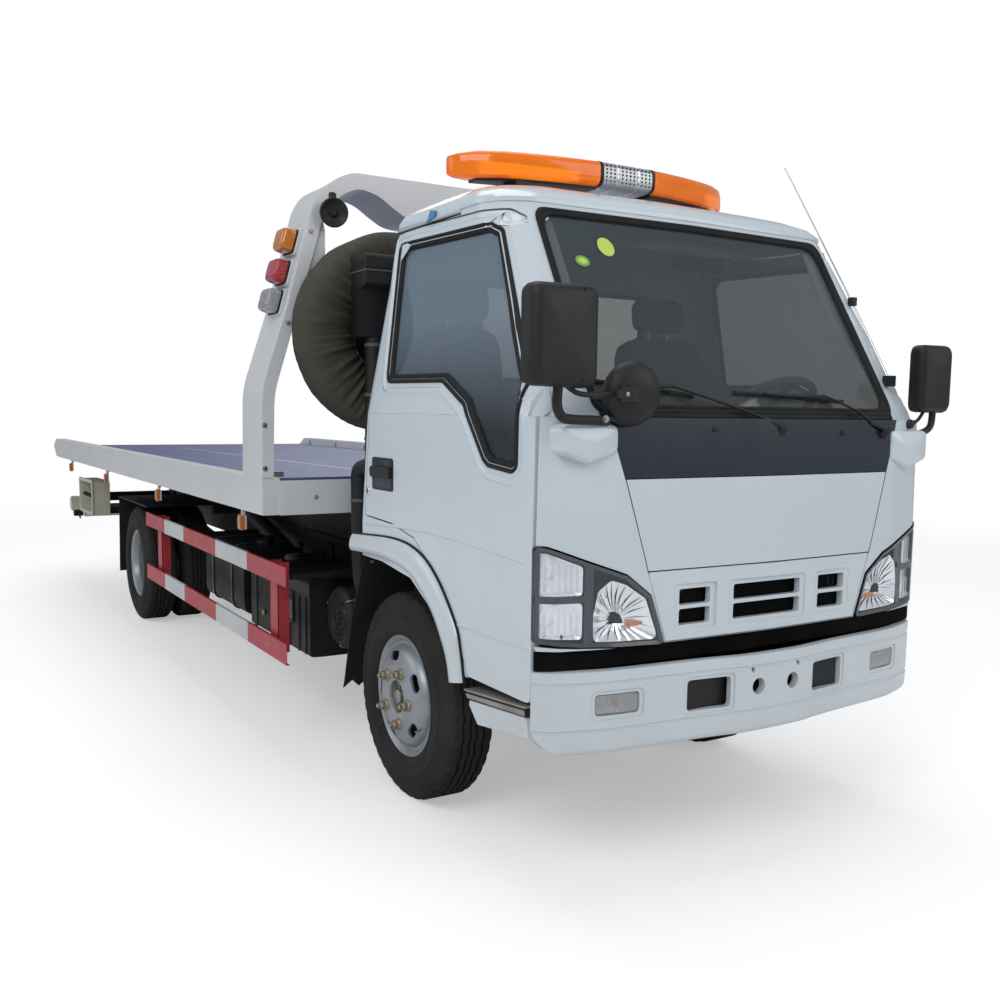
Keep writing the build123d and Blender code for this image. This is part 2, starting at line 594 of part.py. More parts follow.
# ---- underlift ----------------------------------------------------------------------------
LIFT_PIVOT = (RAIL_REAR - 60, 560)
LIFT_BOX = 110
brk = both(box(RAIL_REAR - 110, RAIL_REAR, 70 + GAP, 92, 500, RAIL_TOP - 90))
brk += box(RAIL_REAR, RAIL_REAR + 12, -FRAME_HALF, FRAME_HALF, 500, RAIL_TOP - 20)
brk -= cyl((LIFT_PIVOT[0], 0, LIFT_PIVOT[1]), "y", 22 + FIT, 400)
frame += brk
boom = box(LIFT_PIVOT[0] - 480, LIFT_PIVOT[0] + 30, -LIFT_BOX / 2, LIFT_BOX / 2,
           LIFT_PIVOT[1] - LIFT_BOX / 2, LIFT_PIVOT[1] + LIFT_BOX / 2)
boom -= box(LIFT_PIVOT[0] - 481, LIFT_PIVOT[0] - 60, -LIFT_BOX / 2 + 8, LIFT_BOX / 2 - 8,
            LIFT_PIVOT[1] - LIFT_BOX / 2 + 8, LIFT_PIVOT[1] + LIFT_BOX / 2 - 8)
boom += cyl((LIFT_PIVOT[0], 0, LIFT_PIVOT[1]), "y", 22, 184)
boom += both(box(LIFT_PIVOT[0] - 50, LIFT_PIVOT[0] + 30, LIFT_BOX / 2, 70, LIFT_PIVOT[1] - 40,
                 LIFT_PIVOT[1] + 40))
parts["lift_boom"] = boom
inner_half = LIFT_BOX / 2 - 8 - SEAT
CROSS_X = -5850
CROSS_HALF = 1015
CROSS_END_Z = 626
CROSS_END_R = 62
slider = box(CROSS_X, LIFT_PIVOT[0] - 80, -inner_half, inner_half, LIFT_PIVOT[1] - inner_half,
             LIFT_PIVOT[1] + inner_half)
slider += cyl((CROSS_X, 0, LIFT_PIVOT[1]), "y", 50, 2 * CROSS_HALF - 200)
end_post = box(CROSS_X - 45, CROSS_X + 45, CROSS_HALF - 150, CROSS_HALF - 100,
               LIFT_PIVOT[1] - 45, CROSS_END_Z + 40)
end_post += cyl((CROSS_X, CROSS_HALF - 75, CROSS_END_Z), "y", CROSS_END_R, 150)
slider += both(end_post)
parts["lift_crossbar"] = slider

# ---- cab ----------------------------------------------------------------------------------
BUMPER_TOP = 700
BUMPER_BOTTOM = 452
# z, rear x, half width, side end x, corner x, corner y, brow x, brow y, nose x
DOOR_FRONT = 952
CAB_SECTIONS = (
    (600, CAB_REAR, CAB_HALF, 958, 1004, CAB_HALF - 65, 1046, 600, 1068),
    (1020, CAB_REAR, CAB_HALF, 958, 1004, CAB_HALF - 65, 1044, 590, 1066),
    (1430, -238, CAB_HALF, 950, 992, CAB_HALF - 60, 1030, 600, 1048),
)
GLASS_SECTIONS = (
    (1430, -238, CAB_HALF, 918, 966, CAB_HALF - 53, 998, 650, 1020),
    (ROOF_CUT, -152, ROOF_HALF - 6, 490, 562, ROOF_HALF - 42, 604, 630, 628),
)
ROOF_SECTIONS = (
    (ROOF_CUT, -152, ROOF_HALF, 486, 566, ROOF_HALF - 37, 610, 636, 634),
    (2162, -116, ROOF_HALF - 58, 400, 470, ROOF_HALF - 98, 520, 560, 545),
    (2204, -20, ROOF_HALF - 208, 250, 310, ROOF_HALF - 248, 350, 430, 372),
)


def cab_ring(row, inset):
    z, xr, yw, x3, x4, y4, x5, y5, xn = row
    t = inset
    half = ((xr + t, yw - 60 - t), (xr + 60, yw - t), (x3, yw - t), (x4 - 0.75 * t, y4 - 0.75 * t),
            (x5 - t, y5 - 0.3 * t), (xn - t, 0))
    ring = list(half) + [(x, -y) for x, y in reversed(half[:-1])]
    return [Vector(X(x), y, z) for x, y in ring]


def cab_loft(rows, inset, low=0, high=0):
    body = Part()
    rows = list(rows)
    for a, b in zip(rows[:-1], rows[1:]):
        wires = [Wire.make_polygon(cab_ring(r, inset), close=True) for r in (a, b)]
        body += Solid.make_loft(wires, True)
    return body


lower_out = cab_loft(CAB_SECTIONS, 0)
glass_out = cab_loft(GLASS_SECTIONS, 0)
roof_out = cab_loft(ROOF_SECTIONS, 0)
lower_in = cab_loft(CAB_SECTIONS, CAB_T)
glass_in = cab_loft(GLASS_SECTIONS, CAB_T)
shell = (lower_out - lower_in) + (glass_out - glass_in)

# roof skin: same form less its own inside
roof_in_rows = [(r[0] - (0 if n == 0 else 30),) + tuple(r[1:]) for n, r in
                enumerate(ROOF_SECTIONS)]
roof = roof_out - cab_loft(roof_in_rows, 34)
parts["cab_roof"] = roof

ARCH = ((CAB_REAR - 20, 500), (CAB_REAR - 20, 893), (-45, 890), (190, 862), (345, 780),
        (470, 665), (558, 560), (558, 500))
shell -= side_prism(ARCH, -CAB_HALF - 50, CAB_HALF + 50)
NOSE_BOTTOM = 762
shell -= box(DOOR_FRONT - 4, 1200, -1000, 1000, 500, NOSE_BOTTOM)

# door outline: station, z
DOOR_BOTTOM = 607
DOOR = ((-190, 1050), (40, 1040), (215, 1008), (372, 905), (505, 775), (600, DOOR_BOTTOM),
        (DOOR_FRONT, DOOR_BOTTOM), (DOOR_FRONT, 1445), (620, 2040), (590, 2062), (-60, 2080),
        (-88, 2050), (-150, 1430))
window_outline = ((-22, 1552), (-52, 2026), (560, 2010), (598, 1990), (846, 1560), (868, 1530),
                  (864, 1290), (845, 1278), (715, 1290), (690, 1305), (560, 1470), (394, 1548))


def grown(outline, amount):
    """Outline moved outwards by amount; the points turn clockwise or anticlockwise."""
    n = len(outline)
    area = sum(outline[i][0] * outline[(i + 1) % n][1] - outline[(i + 1) % n][0] * outline[i][1]
               for i in range(n))
    s = 1 if area > 0 else -1
    result = []
    for i in range(n):
        x0, z0 = outline[i - 1]
        x1, z1 = outline[i]
        x2, z2 = outline[(i + 1) % n]
        ax, az = x1 - x0, z1 - z0
        bx, bz = x2 - x1, z2 - z1
        la, lb = hypot(ax, az), hypot(bx, bz)
        nx = s * (az / la + bz / lb)
        nz = -s * (ax / la + bx / lb)
        k = 2 / (nx * nx + nz * nz) if nx * nx + nz * nz > 0.3 else 1
        result.append((x1 + nx * amount * k, z1 + nz * amount * k))
    return result


side_zone = box(-400, 1200, 300, 1000, 500, ROOF_CUT)
# hinges: barrels on an upright axis near the skin, at the door's front edge
HINGE_X = DOOR_FRONT + 4
HINGE_Y = CAB_HALF - 9
HINGE_R = 7
HINGE_PIN_R = 3
HINGES = (1125, 1370)
KNUCKLE_H = 30
SIDE_CUT = CAB_HALF + 60
door_left = shell & side_prism(DOOR, CAB_HALF - 145, SIDE_CUT)
door_left -= side_prism(window_outline, 500, SIDE_CUT)
door_left -= extrude_points([(X(DOOR_FRONT - 18), CAB_HALF + 5, 600),
                             (X(DOOR_FRONT + 2), CAB_HALF - 15, 600),
                             (X(DOOR_FRONT + 2), CAB_HALF + 5, 600)], (0, 0, 1000))
shell -= both(side_prism(grown(DOOR, GAP), 600, SIDE_CUT))
shell -= both(box(DOOR_FRONT, DOOR_FRONT + 9, 600, SIDE_CUT, 500, 1445))
frame_hinges = Part()
for z in HINGES:
    door_left -= box(HINGE_X - 14, HINGE_X + 4, HINGE_Y - 14, SIDE_CUT, z - 50, z + 50)
    door_left += cyl((HINGE_X, HINGE_Y, z), "z", HINGE_R, KNUCKLE_H - 2 * SEAT)
    door_left += box(HINGE_X - 16, HINGE_X, HINGE_Y - HINGE_R, HINGE_Y + HINGE_R,
                     z - KNUCKLE_H / 2 + SEAT, z + KNUCKLE_H / 2 - SEAT)
    door_left -= cyl((HINGE_X, HINGE_Y, z), "z", HINGE_PIN_R + FIT, 60)
    frame_hinges += cyl((HINGE_X, HINGE_Y, z), "z", HINGE_PIN_R, 3 * KNUCKLE_H)
    for side in (-1, 1):
        frame_hinges += cyl((HINGE_X, HINGE_Y, z + side * KNUCKLE_H), "z", HINGE_R, KNUCKLE_H)
        frame_hinges += box(HINGE_X, HINGE_X + 14, HINGE_Y - 12, HINGE_Y,
                            z + side * KNUCKLE_H - KNUCKLE_H / 2,
                            z + side * KNUCKLE_H + KNUCKLE_H / 2)
parts["door_left"] = door_left
parts["door_right"] = left_of(door_left)

# door glass: a sheet inside the door's depth
glass_mid = cab_loft(GLASS_SECTIONS, 14) - cab_loft(GLASS_SECTIONS, 20)
low_mid = cab_loft(CAB_SECTIONS, 14) - cab_loft(CAB_SECTIONS, 20)
pane_zone = side_prism(grown(window_outline, -SEAT), 600, 1000)
pane = (glass_mid + low_mid) & pane_zone
parts["door_glass_left"] = pane
parts["door_glass_right"] = left_of(pane)

# rear wall with its window
back_zone = side_prism(((-400, 500), (-400, ROOF_CUT), (-106, ROOF_CUT), (-192, 1430),
                        (-244, 1020), (-244, 500)), -1000, 1000)
back = shell & back_zone
REAR_WINDOW = ((460, 1560), (460, 1940), (-460, 1940), (-460, 1560))
back -= front_prism(REAR_WINDOW, -400, 0)
parts["cab_back"] = back
shell -= back_zone
rear_glass = (cab_loft(GLASS_SECTIONS, 14) - cab_loft(GLASS_SECTIONS, 20))
rear_glass &= front_prism([(y * 0.9993, 1560 + SEAT if z < 1700 else 1940 - SEAT)
                           for y, z in REAR_WINDOW], -400, 0)

# front panels below the windscreen
front_zone = box(700, 1200, -1000, 1000, 500, 1430)
front = shell & front_zone
shell -= front_zone
# headlamps in the corners: outline as y, z
LAMP = ((417, 757), (471, 908), (560, 975), (676, 1016), (800, 1068), (CAB_HALF + 7, 1069),
        (CAB_HALF + 7, 786), (711, 770))
lamp_zone = front_prism(LAMP, DOOR_FRONT + 9, 1200)
lamp_body = (cab_loft(CAB_SECTIONS, -6) - cab_loft(CAB_SECTIONS, 60)) & lamp_zone
front -= both(lamp_zone)
headlamps = both(lamp_body)
parts["headlamps"] = headlamps
GARNISH = ((567, 1254), (600, 1352), (622, 1430), (-622, 1430), (-600, 1352), (-567, 1254))
garnish_zone = front_prism(GARNISH, 900, 1200)
parts["cowl_panel"] = front & garnish_zone
front -= garnish_zone
# dark valance between the bumper and the front panels, open at the hinges
VALANCE_BOTTOM = BUMPER_TOP + 3
valance_zone = front_prism(mirrored(((780, VALANCE_BOTTOM), (780, NOSE_BOTTOM - SEAT),
                                     (530, NOSE_BOTTOM - SEAT), (416, 757 - SEAT),
                                     (414, NOSE_BOTTOM - SEAT))), 940, 1200)
valance = (cab_loft(CAB_SECTIONS, CAB_T - 8) - cab_loft(CAB_SECTIONS, CAB_T)) & valance_zone
valance -= both(box(940, 1200, FRAME_HALF - 10, FRAME_HALF + 50, 600, CAB_PIVOT_Z + 25))
parts["cowl_panel"] += valance
GRILLE = ((412, 700), (412, 765), (482, 978), (-482, 978), (-412, 765), (-412, 700))
grille_zone = front_prism(GRILLE, 900, 1200)
grille = front & grille_zone
front -= grille_zone
SLOTS = ((-362, -238), (-146, 146), (238, 362))
SLOT_ROWS = ((808, 857), (869, 918))
for y0, y1 in SLOTS:
    for z0, z1 in SLOT_ROWS:
        grille -= box(900, 1200, y0, y1, z0, z1)
parts["grille"] = grille
for z in HINGES:
    front -= both(box(HINGE_X, HINGE_X + HINGE_R + 5, HINGE_Y - 14, SIDE_CUT, z - KNUCKLE_H / 2 + SEAT,
                      z + KNUCKLE_H / 2 - SEAT))
front += both(frame_hinges)
parts["cab_front"] = front

# windscreen and its frame
SCREEN = ((640, 1452), (618, 2066), (-618, 2066), (-640, 1452))
screen_zone = front_prism(SCREEN, 500, 1200)
shell -= screen_zone
screen = (cab_loft(GLASS_SECTIONS, 8) - cab_loft(GLASS_SECTIONS, 14)) \
    & front_prism([(y * 0.9995, z + (SEAT if z < 1700 else -SEAT)) for y, z in SCREEN], 500, 1200)
parts["cab_glass"] = screen + rear_glass

# floor with the engine cover
inner_half = CAB_HALF - CAB_T
floor = side_prism(((-246, FLOOR_Z - FLOOR_T), (-246, FLOOR_Z), (200, FLOOR_Z),
                    (330, FLOOR_FRONT_Z), (1000, FLOOR_FRONT_Z),
                    (1000, FLOOR_FRONT_Z - FLOOR_T), (318, FLOOR_FRONT_Z - FLOOR_T),
                    (188, FLOOR_Z - FLOOR_T)), -inner_half + 2, inner_half - 2)
tunnel_out = box(-246, 700, -330, 330, FLOOR_FRONT_Z - FLOOR_T, 1130)
tunnel_in = box(-300, 680, -310, 310, 500, 1110)
floor = (floor - tunnel_in) + (tunnel_out - tunnel_in - side_prism(
    ((-400, 500), (-400, FLOOR_Z - FLOOR_T), (188, FLOOR_Z - FLOOR_T),
     (318, FLOOR_FRONT_Z - FLOOR_T), (800, FLOOR_FRONT_Z - FLOOR_T), (800, 500)), -400, 400))
# room inside the walls, clear of the doors
inside = cab_loft(CAB_SECTIONS, CAB_T)
door_room = both(side_prism(grown(DOOR, GAP), 600, SIDE_CUT)) \
    - cab_loft(CAB_SECTIONS, CAB_T + GAP)
lug_y = FRAME_HALF + LUG_T + GAP
lugs = both(box(CAB_PIVOT_X - 40, CAB_PIVOT_X - 4, lug_y, lug_y + LUG_T, CAB_PIVOT_Z,
                FLOOR_FRONT_Z - FLOOR_T + 4)
            + cyl((CAB_PIVOT_X, lug_y + LUG_T / 2, CAB_PIVOT_Z), "y", PIVOT_BOSS_R, LUG_T)
            + cyl((CAB_PIVOT_X, lug_y - GAP / 2, CAB_PIVOT_Z), "y", CAB_PIVOT_R,
                  2 * LUG_T + GAP))
cab_floor = (floor & inside) - door_room - headlamps
parts["cab_floor"] = cab_floor + lugs

# wheel-arch flares on the cab sides
flare_out = ((CAB_REAR, 893), (CAB_REAR - 6, 950), (-45, 1004), (218, 978), (372, 880),
             (500, 756), (590, 590), (558, 560), (470, 665), (345, 780), (190, 862), (-45, 890))
flare = side_prism(flare_out, CAB_HALF, CAB_HALF + 16)
parts["cab_frame"] = shell + both(flare)

# ---- bumper and steps on the chassis ------------------------------------------------------
# plan of the bumper face: station, y
BUMPER_PLAN = ((1110, 0), (1106, 130), (1092, 220), (1077, 340), (1050, 600),
               (1022, CAB_HALF - 125), (992, CAB_HALF - 45), (957, CAB_HALF - 5))
BUMPER_T = 26
BUMPER_END = BUMPER_PLAN[-1][0]
BUMPER_ARM_Y = FRAME_HALF + 16
bumper_outer = list(BUMPER_PLAN) + [(BUMPER_END, 0)]
bumper_inner = [(x - BUMPER_T, y - (BUMPER_T if y > CAB_HALF - 115 else 0))
                for x, y in BUMPER_PLAN]
bumper_inner += [(bumper_inner[-1][0], 0)]
half_bumper = plan_prism(bumper_outer, BUMPER_BOTTOM, BUMPER_TOP) \
    - plan_prism(bumper_inner, BUMPER_BOTTOM - 1, BUMPER_TOP + 1)
bumper = both(half_bumper)
for side in (-1, 1):
    bumper -= box(900, 1200, side * 182, side * 340, 544, 640)
    bumper -= box(900, 1200, side * 510, side * 658, 564, 628)
    bumper -= cyl((1100, side * 75, 598), "x", 26, 120)
    bumper -= cyl((1100, side * 99, 652), "x", 8, 120)
arm = box(RAIL_FRONT - 60, 1060, FRAME_HALF, BUMPER_ARM_Y, 470, 560)
arm += box(RAIL_FRONT - 60, RAIL_FRONT - 10, FRAME_HALF, BUMPER_ARM_Y, 470, RAIL_TOP - 90)
bumper += both(arm)
parts["bumper"] = bumper
fog = both(box(1008, 1048, 510, 658, 564, 628) & plan_prism(bumper_outer, 500, 700))
parts["chassis_lamps"] = fog + tail_lamps

step = both(box(585, 930, 640, CAB_HALF - 5, 545, 571) + box(600, 890, 300, 640, 548, 566)
            + box(590, 925, CAB_HALF - 29, CAB_HALF - 11, 482, 545)
            + box(600, 660, 310, 340, 548, RAIL_BOTTOM)
            + box(780, 840, 310, 340, 548, RAIL_BOTTOM))
parts["cab_steps"] = step
pivot_brackets = both(box(RAIL_FRONT - 70, CAB_PIVOT_X, FRAME_HALF, FRAME_HALF + LUG_T,
                          CAB_PIVOT_Z - PIVOT_BOSS_R, CAB_PIVOT_Z + PIVOT_BOSS_R)
                      + cyl((CAB_PIVOT_X, FRAME_HALF + LUG_T / 2, CAB_PIVOT_Z), "y",
                            PIVOT_BOSS_R, LUG_T)
                      - cyl((CAB_PIVOT_X, FRAME_HALF + LUG_T / 2, CAB_PIVOT_Z), "y",
                            CAB_PIVOT_R + FIT, 60))
frame += pivot_brackets
parts["chassis_frame"] = frame

# ---- inside the cab -----------------------------------------------------------------------
seat = Part()
for y0, y1 in ((210, 700), (-700, -330)):
    seat += fillet(box(-60, 420, y0, y1, 1140, 1260).edges(), 30)
    back_rest = side_prism(((-28, 1250), (70, 1250), (-20, 1900), (-110, 1880)), y0 + 10, y1 - 10)
    seat += back_rest
seat_base = Part()
for y0, y1 in ((340, 680), (-690, -340)):
    seat_base += box(-40, 400, y0, y1, FLOOR_Z, 1140)
dash = side_prism(((990, 1080), (990, 1400), (900, 1430), (760, 1380), (740, 1200), (860, 1080)),
                  -780, 780)
parts["dashboard"] = ((dash & inside) - door_room) - parts["cab_floor"]
WHEEL_C = (650, 345, 1440)
column = rod((820, 345, 1270), (WHEEL_C[0] + 10, 345, WHEEL_C[2] - 10), 26)
ring_plane = Plane(origin=(X(WHEEL_C[0]), WHEEL_C[1], WHEEL_C[2]), z_dir=(-170, 0, 230))
steer = ring_plane * Torus(205, 15)
hub = ring_plane * Cylinder(50, 40)
spokes = Part()
for ang in (0, 120, 240):
    spokes += ring_plane * Rot(0, 0, ang) * Pos(110, 0, 0) * Box(190, 34, 12)
parts["steering_wheel"] = (steer + hub + spokes + column) - parts["dashboard"]
parts["seats"] = seat + seat_base

# ---- outside of the cab -------------------------------------------------------------------
bar_y = 620
light_bar = plan_prism(((40, 620), (100, 640), (240, 440), (290, 160), (290, -160), (240, -440),
                        (100, -640), (40, -620), (90, -400), (120, -160), (120, 160), (90, 400)),
                       2262, 2346)
light_bar += both(box(130, 220, 380, 440, 2185, 2262))
parts["light_bar"] = light_bar - roof
# pedestals on the corners of the cab
pedestal_seat = cab_loft(CAB_SECTIONS, -SEAT)
mir = both(box(966, 1042, -796, -595, 1310, 1410) - pedestal_seat)
mir += fillet(box(1030, 1105, -937, -717, 1507, 1785).edges().filter_by(Axis.X), 34)
mir += rod((1046, -640, 1395), (1050, -790, 1440), 12)
mir += Pos(X(1050), -790, 1440) * Sphere(12)
mir += rod((1050, -790, 1440), (1058, -824, 1530), 12)
mir += cyl((1080, -573, 1496), "x", 92, 30)
mir += rod((1046, -640, 1395), (1078, -600, 1440), 10)
far = Box(60, 176, 240)
far = fillet(far.edges().filter_by(Axis.X), 34)
mir += Pos(X(1000), 830, 1576) * Rot(0, 0, 12) * far
mir += rod((1030, 740, 1380), (1010, 800, 1420), 12)
mir += Pos(X(1010), 800, 1420) * Sphere(12)
mir += rod((1010, 800, 1420), (1000, 830, 1480), 12)
parts["mirrors"] = mir
wip = Part()
# pivot: station, y; both arms lie to the right
for x, y in ((1060, 95), (1052, 480)):
    wip += cyl((x - 6, y, 1422), "x", 16, 34)
    wip += rod((x, y, 1422), (x - 16, y - 420, 1474), 8)
parts["wipers"] = (wip - parts["cowl_panel"]) - parts["cab_front"]
ant = rod((925, 742, 1571), (386, 700, 2407), 4) + cyl((925, 770, 1571), "y", 12, 60)
ant += rod((925, 765, 1571), (860, 755, 1565), 9)
parts["antenna"] = (ant - glass_out) - roof_out

for name, shape in parts.items():
    export_step(shape, f"parts/{name}.step")
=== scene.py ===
import json
from math import sin, cos, pi, radians

import bmesh
import bpy
from mathutils import Vector, Matrix
from mathutils.bvhtree import BVHTree


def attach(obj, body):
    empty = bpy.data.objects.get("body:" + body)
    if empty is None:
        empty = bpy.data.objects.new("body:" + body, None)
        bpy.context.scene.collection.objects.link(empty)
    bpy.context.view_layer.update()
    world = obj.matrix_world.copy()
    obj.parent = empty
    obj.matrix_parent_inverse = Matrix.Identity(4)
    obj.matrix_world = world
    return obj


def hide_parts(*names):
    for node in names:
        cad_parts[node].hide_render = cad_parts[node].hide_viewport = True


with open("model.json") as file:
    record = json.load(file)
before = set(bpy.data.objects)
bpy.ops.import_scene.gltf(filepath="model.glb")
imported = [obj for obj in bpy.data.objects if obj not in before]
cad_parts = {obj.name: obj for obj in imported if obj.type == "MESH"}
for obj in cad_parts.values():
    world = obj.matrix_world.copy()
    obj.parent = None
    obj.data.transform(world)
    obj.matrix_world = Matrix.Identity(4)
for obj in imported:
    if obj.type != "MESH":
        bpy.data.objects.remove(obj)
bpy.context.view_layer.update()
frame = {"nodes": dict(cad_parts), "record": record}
NODES = frame["nodes"]
ORIGIN = 2440          # the front axle stands this far ahead of the frame's origin, mm
SIDES = ((-1, "right"), (1, "left"))
RAIL_OUT = 350         # outer faces of the ladder frame's rails, mm from the middle
DONE = set()           # CAD nodes that a piece of the scene stands for


def P(station, y, z):
    """Point from a station ahead of the front axle, y and z, all in mm."""
    return Vector(((station + ORIGIN) / 1000, y / 1000, z / 1000))


def angles(n, first=0.0):
    """n even steps of a full turn."""
    return [first + 2 * pi * k / n for k in range(n)]


# ---- materials ----------------------------------------------------------------------------
class Tree:
    """Node tree of a material or of the world."""

    def __init__(self, owner):
        owner.use_nodes = True
        self.nodes = owner.node_tree.nodes
        self.links = owner.node_tree.links

    def put(self, socket, value):
        if isinstance(value, bpy.types.NodeSocket):
            self.links.new(value, socket)
        elif value is not None:
            socket.default_value = value

    def set(self, node, **inputs):
        """Inputs by name, with _ for a blank; each takes a value or another node's output."""
        for key, value in inputs.items():
            self.put(node.inputs[key.replace("_", " ")], value)

    def add(self, kind, *first, props=(), **inputs):
        """New node, with its first inputs in order, then others by name; gives its outputs."""
        node = self.nodes.new("ShaderNode" + kind)
        for key, value in dict(props).items():
            setattr(node, key, value)
        for k, value in enumerate(first):
            self.put(node.inputs[k], value)
        self.set(node, **inputs)
        return node.outputs

    def mix(self, factor, a, b):
        """Colour between a, a colour or a node's output, and the colour b."""
        a = a if isinstance(a, bpy.types.NodeSocket) else (*a, 1)
        return self.add("Mix", props={"data_type": "RGBA"}, Factor=factor, A=a,
                        B=(*b, 1))["Result"]

    def bump(self, height, distance, strength):
        return self.add("Bump", Height=height, Distance=distance, Strength=strength)["Normal"]


def material(name, color, rough=0.5, metal=0.0, coat=0.0, bump=None, vary=None, dust=None,
             wear=None, rough_vary=0.0, spec=None, trans=None, ior=None, emit=None):
    """Procedural paint or plastic.

    bump: (scale, height in m, strength); vary: (scale, other colour, share);
    dust: (colour, low z, high z, share); wear: (scale, colour, threshold);
    emit: (colour, strength).
    """
    mat = bpy.data.materials.new(name)
    tree = Tree(mat)
    shader = tree.nodes["Principled BSDF"]
    place = tree.add("TexCoord")["Object"]
    tree.set(shader, Roughness=rough, Metallic=metal, Coat_Weight=coat, Specular_IOR_Level=spec,
             Transmission_Weight=trans, IOR=ior)

    def cloud(scale, detail):
        return tree.add("TexNoise", Vector=place, Scale=scale, Detail=detail)["Fac"]

    def spread(value, **limits):
        return tree.add("MapRange", Value=value, **limits)["Result"]

    shade = color
    if vary:
        patches = spread(cloud(vary[0], 6.0), From_Min=0.35, From_Max=0.7, To_Max=vary[2])
        shade = tree.mix(patches, shade, vary[1])
    if dust:
        height = tree.add("SeparateXYZ", Vector=place)["Z"]
        low = spread(height, From_Min=dust[2], From_Max=dust[1], To_Max=dust[3])
        share = tree.add("Math", low, cloud(7.0, 7.0), props={"operation": "MULTIPLY"})["Value"]
        shade = tree.mix(share, shade, dust[0])
    if wear:
        worn = spread(cloud(wear[0], 8.0), From_Min=wear[2], From_Max=wear[2] + 0.06)
        shade = tree.mix(worn, shade, wear[1])
    if shade is color:
        shade = tree.mix(spread(cloud(9.0, 3.0), To_Max=0.12), color, [c * 0.8 for c in color])
    tree.set(shader, Base_Color=shade)
    if rough_vary:
        limits = {"To_Min": max(0.02, rough - rough_vary), "To_Max": rough + rough_vary}
        tree.set(shader, Roughness=spread(cloud(14.0, 5.0), **limits))
    if bump:
        tree.set(shader, Normal=tree.bump(cloud(bump[0], 3.0), bump[1], bump[2]))
    if emit:
        tree.set(shader, Emission_Color=(*emit[0], 1), Emission_Strength=emit[1])
    return mat


